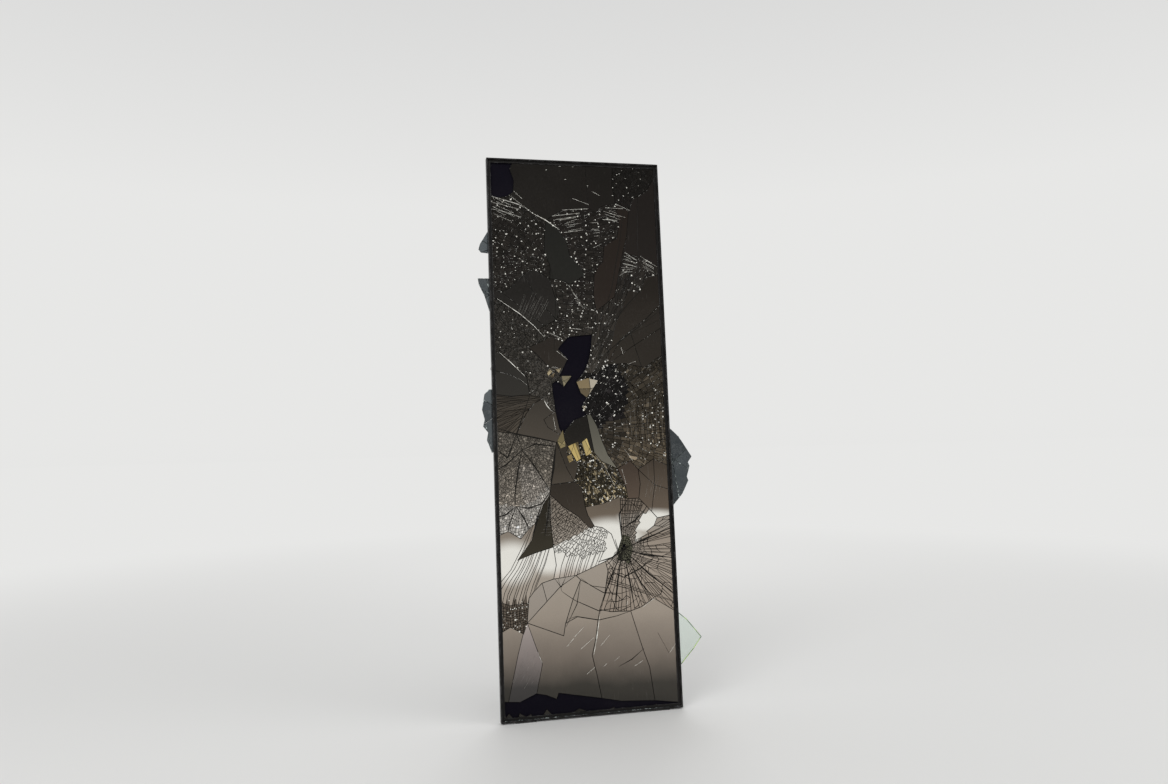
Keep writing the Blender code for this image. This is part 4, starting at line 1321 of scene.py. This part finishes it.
def dull_steel():
    """Zinc-plated steel with a brushed grain and a little tarnish."""
    material, tree, shader = new_material("dull_steel")
    place = object_place(tree)
    base = (*finishes().steel, 1)
    grain = tree.noise(tree.stretched(place, (1.0, 1.0, 18.0)), 120.0, 3.0)
    dust = use_group(tree, "Dust and smears", Scale=20.0, Amount=0.5)
    shade = tree.mix(grain, base, tuple(c * 1.5 for c in base[:3]) + (1,))
    shade = tree.mix(dust["Smear"], shade, (0.20, 0.19, 0.18, 1))
    tree.feed(shader.inputs["Base Color"], tree.mix(dust["Dust"], shade, (0.12, 0.09, 0.07, 1)))
    tree.feed(shader.inputs["Metallic"], tree.math("SUBTRACT", 1.0, tree.math("MULTIPLY", dust["Dust"], 0.8)))
    tree.feed(shader.inputs["Roughness"], tree.math("ADD", 0.30, tree.math("MULTIPLY", grain, 0.2)))
    bump(tree, shader, grain, 0.15, 0.0003)
    return material


def worn_rubber():
    """Black rubber, greyed where it is scuffed."""
    material, tree, shader = new_material("worn_rubber")
    place = object_place(tree)
    scuff = tree.window(tree.noise(place, 60.0, 5.0), 0.40, 0.75)
    tree.feed(shader.inputs["Base Color"], tree.mix(scuff, (0.012, 0.012, 0.012, 1), (0.06, 0.057, 0.054, 1)))
    tree.feed(shader.inputs["Roughness"], tree.math("ADD", 0.6, tree.math("MULTIPLY", scuff, 0.25)))
    bump(tree, shader, tree.noise(place, 500.0, 2.0), 0.3, 0.0004)
    return material


FINISH_MAKERS = {
    "paint": satin_paint,
    "board": board_fibre,
    "silver": silvered_glass,
    "edge": fractured_edge,
    "faint": faint_stroke,
    "dark": dark_crack,
    "split": bright_split,
    "sliver": sliver_face,
    "sliver_edge": sliver_edge,
    "clear": clear_face,
    "lit_edge": lit_edge,
    "steel": dull_steel,
    "rubber": worn_rubber,
}
MADE_FINISHES = {}


def finish(name):
    """A finish by name, made on its first use."""
    if name not in MADE_FINISHES:
        MADE_FINISHES[name] = FINISH_MAKERS[name]()
    return MADE_FINISHES[name]


def dress(node, name):
    """Give a CAD node a finish."""
    slots = NODES[node].data.materials
    slots.clear()
    slots.append(finish(name))


# Geometry Nodes trees


def geometry_tree(name, inputs):
    """A new Geometry Nodes tree with named inputs: (kind, name, default)."""
    group = bpy.data.node_groups.new(name, "GeometryNodeTree")
    group.interface.new_socket("Geometry", in_out="INPUT", socket_type="NodeSocketGeometry")
    for kind, label, default in inputs:
        socket = group.interface.new_socket(label, in_out="INPUT", socket_type=kind)
        if default is not None:
            socket.default_value = default
    group.interface.new_socket("Geometry", in_out="OUTPUT", socket_type="NodeSocketGeometry")
    tree = Tree(group)
    return group, tree, tree.add("NodeGroupInput").outputs, tree.add("NodeGroupOutput").inputs


def grown(name, points, group, values, body):
    """A piece that a Geometry Nodes tree grows from points, turned into a plain mesh."""
    seed_mesh = bpy.data.meshes.new(f"{name}_places")
    seed_mesh.from_pydata(points, [], [])
    carrier = linked(f"{name}_places", seed_mesh)
    modifier = carrier.modifiers.new("grow", "NODES")
    modifier.node_group = group
    for item in group.interface.items_tree:
        if item.in_out == "INPUT" and item.name in values:
            modifier[item.identifier] = values[item.name]
    depsgraph = bpy.context.evaluated_depsgraph_get()
    mesh = bpy.data.meshes.new_from_object(carrier.evaluated_get(depsgraph), depsgraph=depsgraph)
    carrier.modifiers.remove(modifier)
    bpy.data.objects.remove(carrier)
    if not mesh.polygons:
        raise RuntimeError(f"{name} grew no faces")
    made = linked(name, mesh)
    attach(made, body)
    return made


def chance_turn(tree, facing, most, seed):
    """A rotation that faces along the given angles and spins by chance about that line."""
    turn = tree.add("FunctionNodeRandomValue", {"Min": 0.0, "Max": most, "Seed": seed}, data_type="FLOAT")
    spin = tree.add("ShaderNodeCombineXYZ", {2: turn.outputs[1]})
    aimed = tree.add("FunctionNodeEulerToRotation", {0: facing})
    spun = tree.add("FunctionNodeEulerToRotation", {0: spin.outputs[0]})
    both = tree.add("FunctionNodeRotateRotation", {0: aimed.outputs[0], 1: spun.outputs[0]},
                    rotation_space="LOCAL")
    return both.outputs[0]


def set_on_points(tree, given, out, thing, rotation, **more):
    """Set a thing on each point, make the copies real and give them their finish."""
    points = tree.add("GeometryNodeMeshToPoints", {"Mesh": given["Geometry"]})
    feeds = {"Points": points.outputs[0], "Instance": thing, "Rotation": rotation, **more}
    copies = tree.add("GeometryNodeInstanceOnPoints", feeds)
    real = tree.add("GeometryNodeRealizeInstances", {0: copies.outputs[0]})
    done = tree.add("GeometryNodeSetMaterial", {"Geometry": real.outputs[0], "Material": given["Finish"]})
    tree.feed(out["Geometry"], done.outputs[0])


def screw_tree():
    """Round screw heads with a cross slot, one on each point, facing along the rotation given."""
    group, tree, given, out = geometry_tree("Screw heads", [
        ("NodeSocketFloat", "Radius", 0.003),
        ("NodeSocketFloat", "Height", 0.0012),
        ("NodeSocketVector", "Facing", (0.0, 0.0, 0.0)),
        ("NodeSocketMaterial", "Finish", None),
    ])
    head = tree.add("GeometryNodeMeshCone", {
        "Vertices": 24, "Side Segments": 3,
        "Radius Top": tree.math("MULTIPLY", given["Radius"], 0.62),
        "Radius Bottom": given["Radius"], "Depth": given["Height"],
    })
    slot_length = tree.math("MULTIPLY", given["Radius"], 1.2)
    slot_width = tree.math("MULTIPLY", given["Radius"], 0.26)
    slots = []
    for first, second in ((slot_length, slot_width), (slot_width, slot_length)):
        size = tree.add("ShaderNodeCombineXYZ", {0: first, 1: second, 2: given["Height"]})
        bar = tree.add("GeometryNodeMeshCube", {"Size": size.outputs[0]})
        lift = tree.add("ShaderNodeCombineXYZ", {2: given["Height"]})
        moves = {"Geometry": bar.outputs[0], "Translation": lift.outputs[0]}
        moved = tree.add("GeometryNodeTransform", moves)
        slots.append(moved.outputs[0])
    cut = tree.add("GeometryNodeMeshBoolean", {"Mesh 1": head.outputs[0]}, operation="DIFFERENCE")
    for bar in slots:
        tree.tree.links.new(bar, cut.inputs["Mesh 2"])
    rotation = chance_turn(tree, given["Facing"], 3.0, 5)
    set_on_points(tree, given, out, cut.outputs[0], rotation)
    return group


def chip_tree():
    """Small flat chips of glass, one on each point, each of its own size and turn."""
    group, tree, given, out = geometry_tree("Glass chips", [
        ("NodeSocketFloat", "Smallest", 0.5),
        ("NodeSocketFloat", "Largest", 1.6),
        ("NodeSocketFloat", "Chip size", 0.002),
        ("NodeSocketInt", "Seed", 3),
        ("NodeSocketVector", "Facing", (0.0, 0.0, 0.0)),
        ("NodeSocketMaterial", "Finish", None),
    ])
    chip = tree.add("GeometryNodeMeshCone", {
        "Vertices": 4, "Radius Top": tree.math("MULTIPLY", given["Chip size"], 0.7),
        "Radius Bottom": given["Chip size"], "Depth": tree.math("MULTIPLY", given["Chip size"], 0.45),
    })
    rotation = chance_turn(tree, given["Facing"], 6.28, given["Seed"])
    sizes = []
    for axis in range(3):
        drawn = tree.add("FunctionNodeRandomValue", {
            "Min": given["Smallest"], "Max": given["Largest"],
            "Seed": tree.math("ADD", given["Seed"], 11.0 + axis),
        }, data_type="FLOAT")
        sizes.append(drawn.outputs[1])
    scale = tree.add("ShaderNodeCombineXYZ", {0: sizes[0], 1: sizes[1], 2: 1.0})
    set_on_points(tree, given, out, chip.outputs[0], rotation, Scale=scale.outputs[0])
    return group


# Operators


class MIRROR_OT_frame(bpy.types.Operator):
    """Paint the frame's bars and the folding leg."""

    bl_idname = "broken_mirror.frame"
    bl_label = "Frame and leg"

    def execute(self, context):
        for node in ("top_rail", "bottom_rail", "left_stile", "right_stile", "folding_leg"):
            dress(node, "paint")
        return {"FINISHED"}


class MIRROR_OT_fittings(bpy.types.Operator):
    """Finish the steel fittings, the rubber feet and the backing board."""

    bl_idname = "broken_mirror.fittings"
    bl_label = "Fittings and board"

    def execute(self, context):
        for node in NODES:
            if node.endswith(("corner_plate", "bracket", "pivot_bolt")):
                dress(node, "steel")
            elif node.endswith(("pad", "sleeve")):
                dress(node, "rubber")
        dress("backing_board", "board")
        return {"FINISHED"}


class MIRROR_OT_crazed(bpy.types.Operator):
    """Build the zones of crazed glass, cell by cell."""

    bl_idname = "broken_mirror.crazed"
    bl_label = "Crazed glass"

    def execute(self, context):
        glass = settings()
        chips = []
        for node, zone in CRAZED.items():
            rng = random.Random(f"{glass.seed} {node}")
            chip_rng = random.Random(f"{glass.seed} {node} chips")
            outline = back_outline(node)
            lines = []
            if zone.long:
                lines = mosaic(outline, on_sheet(zone.hub), zone.long, zone.wide, zone.jitter, rng)
            for spot, *pattern in WEBS.get(node, []):
                lines += web(on_sheet(spot), *pattern, rng)
            lines = short_of_patches(node, lines)
            for pattern in FAMILIES.get(node, []):
                lines += family(*pattern, rng)
            flash_share, flash = zone.sparks
            shell = Shell()
            for cell in split_along(outline, lines):
                tone = rng.uniform(1 - zone.spread, 1 + zone.spread)
                if rng.random() < flash_share:
                    tone *= flash
                look = patch_at(node, inner_spot(cell)) or zone
                tone_and_reflection = toned(look.tone_and_reflection, tone)
                tilt = random_tilt(rng, math.radians(zone.lean))
                add_cell(shell, cell, GLASS_FRONT, GLASS_BACK, tone_and_reflection, tilt, zone.grooves, glint=zone.glint)
                # A bright chip at a cell's corner paints a glint
                if chip_rng.random() < look.chips:
                    corner = cell[0].lerp(centre(cell), 0.12)
                    chips.append(placed(corner.x, GLASS_FRONT, corner.y))
            shell.stand_for(node, ("silver", "edge"))
        values = {
            "Smallest": 0.3, "Largest": 1.9, "Chip size": 0.0017, "Seed": 7,
            "Facing": (math.pi / 2 - LEAN, 0.0, 0.0), "Finish": finish("split"),
        }
        piece = grown("glint_chips", chips, chip_tree(), values, "mirror")
        return {"FINISHED"}


class MIRROR_OT_shards(bpy.types.Operator):
    """Build the large plain shards."""

    bl_idname = "broken_mirror.shards"
    bl_label = "Plain shards"

    def execute(self, context):
        glass = settings()
        for node, tone_and_reflection in SHARD_REFLECTIONS.items():
            rng = random.Random(f"{glass.seed} {node}")
            outline = back_outline(node)
            breaks = SHARD_BREAKS.get(node, [])
            lines = [lengthened([on_sheet(spot) for spot in line]) for line in breaks]
            shell = Shell()
            for cell in split_along(outline, lines) if lines else [outline]:
                tone = rng.uniform(0.95, 1.05)
                patch = patch_at(node, inner_spot(cell))
                shade = toned(patch.tone_and_reflection if patch else tone_and_reflection, tone)
                tilt = random_tilt(rng, glass.tilt)
                add_cell(shell, cell, GLASS_FRONT, GLASS_BACK, shade, tilt, glint=0.5)
            shell.stand_for(node, ("silver", "edge"))
        return {"FINISHED"}


class MIRROR_OT_hairlines(bpy.types.Operator):
    """Lay the fine splits and the specks on the glass."""

    bl_idname = "broken_mirror.hairlines"
    bl_label = "Hairline splits"

    def execute(self, context):
        glass = settings()
        rng = random.Random(glass.seed)
        shell = Shell()
        for line in HAIRLINES:
            needle(shell, [on_sheet(spot) for spot in line], glass.hairline * rng.uniform(0.8, 1.2))
        for spot in SPECKS:
            middle = on_sheet(spot)
            reach = Vector((rng.uniform(0.0016, 0.0026), 0.0))
            needle(shell, [middle - reach, middle + reach], glass.hairline * WIDTHS["speck"])
        self.strokes(shell, BRIGHT_STROKES, glass.hairline * WIDTHS["bright stroke"], rng)
        pieces = [shell.build("bright_splits", [finish("split")])]
        shell = Shell()
        self.strokes(shell, STROKES, glass.hairline * WIDTHS["faint stroke"], rng)
        pieces.append(shell.build("faint_strokes", [finish("faint")]))
        shell = Shell()
        # Dark strips that paint the shade inside the cracks
        for lines, kind in ((DARK_CRACKS, "dark crack"), (DARK_HAIRLINES, "dark hairline")):
            for line in lines:
                needle(shell, [on_sheet(spot) for spot in line], glass.hairline * WIDTHS[kind])
        pieces.append(shell.build("dark_cracks", [finish("dark")]))
        return {"FINISHED"}

    def strokes(self, shell, patterns, half_width, rng):
        """Short strokes that each cover part of a line of a family."""
        for pattern in patterns:
            for line in family(*pattern, rng):
                start = line[0].lerp(line[1], rng.uniform(0.0, 0.3))
                stop = line[0].lerp(line[1], rng.uniform(0.55, 1.0))
                needle(shell, [start, stop], half_width)


class MIRROR_OT_slivers(bpy.types.Operator):
    """Build the shards that stick out from behind the frame."""

    bl_idname = "broken_mirror.slivers"
    bl_label = "Side slivers"

    def execute(self, context):
        glass = settings()
        front = FRAME_DEPTH + 0.0004
        thick = 0.0036
        breaks = 3
        for node in [name for name in NODES if name.endswith("sliver")]:
            rng = random.Random(f"{glass.seed} {node}")
            outline = back_outline(node)
            clear = node == "right_lower_sliver"
            lines = [] if clear else straight_breaks(outline, breaks, rng)
            shell = Shell()
            for cell in split_along(outline, lines) if lines else [outline]:
                tone_and_reflection = grey(rng.uniform(*SLIVER_TONES[node.split("_")[0]]))
                tilt = random_tilt(rng, glass.tilt * 4)
                wide = 3.0 if clear else 1.6
                add_cell(shell, cell, front, front + thick, tone_and_reflection, tilt, wide, caps=(0, 0))
            faces = ("clear", "lit_edge") if clear else ("sliver", "sliver_edge")
            shell.stand_for(node, faces)
        return {"FINISHED"}


class MIRROR_OT_caught(bpy.types.Operator):
    """Stand the caught pieces in the lower channel, and lay flakes on the glass and chips on the rim."""

    bl_idname = "broken_mirror.caught"
    bl_label = "Caught glass"

    def execute(self, context):
        glass = settings()
        rng = random.Random(f"{glass.seed} caught")
        shell = Shell()
        slack = 0.0004
        for outline in CAUGHT:
            cell = [on_sheet(spot) for spot in outline]
            front = GLASS_FRONT + slack * rng.random()
            tone = grey(rng.uniform(0.3, 1.1))
            add_cell(shell, cell, front, GLASS_BACK - slack, tone, random_tilt(rng, glass.tilt))
        proud = 0.0012
        gap = 0.0001
        for outline, tone_and_reflection in FLAKES:
            cell = [on_sheet(spot) for spot in outline]
            if area(cell) < 0:
                cell.reverse()
            for facet in split_along(cell, straight_breaks(cell, 2, rng)):
                shade = toned(tone_and_reflection, rng.uniform(0.45, 1.6))
                tilt = random_tilt(rng, math.radians(1.5))
                add_cell(shell, facet, GLASS_FRONT - proud, GLASS_FRONT - gap, shade, tilt, 0.5)
        piece = shell.build("caught_glass", [finish("silver"), finish("edge")])
        chips = 150
        chip_size = 0.0016
        half = FRAME_WIDTH / 2 - 0.012
        points = []
        for _ in range(chips):
            x = rng.uniform(-half, half)
            y = rng.uniform(0.0032, 0.0060)
            points.append(placed(x, y, RIM_WIDTH + 0.0001))
        values = {
            "Chip size": chip_size, "Facing": (-LEAN, 0.0, 0.0), "Seed": 4,
            "Finish": finish("sliver_edge"),
        }
        piece = grown("rim_chips", points, chip_tree(), values, "mirror")
        return {"FINISHED"}


class MIRROR_OT_screws(bpy.types.Operator):
    """Drive the screws that hold the corner plates."""

    bl_idname = "broken_mirror.screws"
    bl_label = "Screws"

    def execute(self, context):
        plate_back = FRAME_DEPTH + SEAT_GAP + PLATE_THICK
        near = 0.0105
        far = 0.046
        points = []
        for side in (-1, 1):
            for end in (0, 1):
                for a, b in ((near, near), (far, near), (near, far)):
                    x = side * (FRAME_WIDTH / 2 - a)
                    z = b if end == 0 else FRAME_HEIGHT - b
                    points.append(placed(x, plate_back, z))
        group = screw_tree()
        values = {
            "Radius": 0.0027, "Height": 0.0011, "Facing": (-math.pi / 2 - LEAN, 0.0, 0.0),
            "Finish": finish("steel"),
        }
        piece = grown("corner_screws", points, group, values, "mirror")
        return {"FINISHED"}


class MIRROR_OT_stage(bpy.types.Operator):
    """Lay the floor, light it softly and set the camera."""

    bl_idname = "broken_mirror.stage"
    bl_label = "Stage"

    def execute(self, context):
        stage = staging()
        scene = bpy.context.scene
        scene.view_settings.view_transform = "Standard"
        self.floor(stage)
        self.backdrop(scene)
        key_height = 3.4
        self.lamp("key_light", (-2.6, -3.2, key_height), (0, 0, 0.8), (2.4, 2.4), stage.key_power)
        self.lamp("fill_light", (3.2, -2.0, 2.2), (0, 0, 0.8), (2.0, 2.0), stage.key_power * 0.35)
        self.lamp("back_light", (1.0, 3.6, 2.8), (0, 0, 0.8), (2.4, 1.6), stage.key_power * 0.6)
        self.camera(scene, stage)
        return {"FINISHED"}

    def floor(self, stage):
        """A wide plain floor."""
        reach = 30.0
        bm = bmesh.new()
        bmesh.ops.create_grid(bm, x_segments=1, y_segments=1, size=reach)
        mesh = bpy.data.meshes.new("floor")
        bm.to_mesh(mesh)
        bm.free()
        made = linked("floor", mesh)
        material, tree, shader = new_material("pale_floor")
        shader.inputs["Base Color"].default_value = (*stage.floor_colour, 1)
        shader.inputs["Roughness"].default_value = 0.8
        rays = tree.add("ShaderNodeLightPath").outputs
        seen = tree.math("MAXIMUM", rays["Is Camera Ray"], rays["Is Glossy Ray"])
        seen = tree.math("MAXIMUM", seen, rays["Is Transmission Ray"])
        flat = tree.add("ShaderNodeVectorMath", {0: object_place(tree)}, operation="LENGTH")
        far = tree.window(flat.outputs["Value"], 0.9, 5.0)
        pale = tree.add("ShaderNodeEmission", {"Color": (*PALE, 1)})
        both = tree.add("ShaderNodeMixShader", {
            0: tree.math("MULTIPLY", far, seen), 1: shader.outputs[0], 2: pale.outputs[0],
        })
        output = material.node_tree.nodes["Material Output"]
        tree.feed(output.inputs["Surface"], both.outputs[0])
        mesh.materials.append(material)

    def backdrop(self, scene):
        """A plain pale surround, a little darker overhead."""
        world = bpy.data.worlds.new("surround")
        scene.world = world
        world.use_nodes = True
        tree = Tree(world.node_tree)
        place = tree.add("ShaderNodeTexCoord").outputs["Generated"]
        height = tree.add("ShaderNodeSeparateXYZ", {0: place}).outputs["Z"]
        share = tree.math("ADD", tree.math("MULTIPLY", height, 0.5), 0.5)
        colour = tree.ramp(share, [
            (0.0, (0.60, 0.60, 0.60)),
            (0.5, PALE),
            (0.62, PALE),
            (0.80, (0.62, 0.62, 0.62)),
            (1.0, (0.50, 0.50, 0.50)),
        ])
        tree.feed(world.node_tree.nodes["Background"].inputs["Color"], colour)

    def lamp(self, name, place, target, size, power):
        data = bpy.data.lights.new(name, "AREA")
        data.shape = "RECTANGLE"
        data.size, data.size_y = size
        data.energy = power
        made = linked(name, data)
        made.location = place
        made.rotation_euler = (Vector(target) - Vector(place)).to_track_quat("-Z", "Y").to_euler()

    def camera(self, scene, stage):
        data = bpy.data.cameras.new("camera")
        data.lens = stage.lens
        data.sensor_width = 36.0
        made = linked("camera", data)
        made.location = (-0.592, -2.731, 0.814)
        made.rotation_euler = camera_turn(-12.43, 2.39, -1.30).to_euler()
        scene.camera = made


class MIRROR_PT_panel(bpy.types.Panel):
    """Lists the steps that dress the mirror."""

    bl_idname = "MIRROR_PT_panel"
    bl_label = "Broken Mirror"
    bl_space_type = "VIEW_3D"
    bl_region_type = "UI"
    bl_category = "Mirror"

    def draw(self, context):
        for step in STEPS:
            self.layout.operator(step.bl_idname)
        for group in (settings(), finishes(), staging()):
            box = self.layout.box()
            for name in group.__annotations__:
                box.prop(group, name)


STEPS = (
    MIRROR_OT_stage,
    MIRROR_OT_frame,
    MIRROR_OT_fittings,
    MIRROR_OT_crazed,
    MIRROR_OT_shards,
    MIRROR_OT_hairlines,
    MIRROR_OT_slivers,
    MIRROR_OT_caught,
    MIRROR_OT_screws,
)
SETTINGS = {
    "broken_mirror_glass": GlassSettings,
    "broken_mirror_finish": FinishSettings,
    "broken_mirror_stage": StageSettings,
}


def register():
    for group in SETTINGS.values():
        bpy.utils.register_class(group)
    for name, group in SETTINGS.items():
        setattr(bpy.types.Scene, name, bpy.props.PointerProperty(type=group))
    for step in STEPS:
        bpy.utils.register_class(step)
    bpy.utils.register_class(MIRROR_PT_panel)


def unregister():
    bpy.utils.unregister_class(MIRROR_PT_panel)
    for step in reversed(STEPS):
        bpy.utils.unregister_class(step)
    for name, group in SETTINGS.items():
        delattr(bpy.types.Scene, name)
        bpy.utils.unregister_class(group)


def main():
    register()
    for step in STEPS:
        group, name = step.bl_idname.split(".")
        getattr(getattr(bpy.ops, group), name)()


if __name__ == "__main__":
    main()
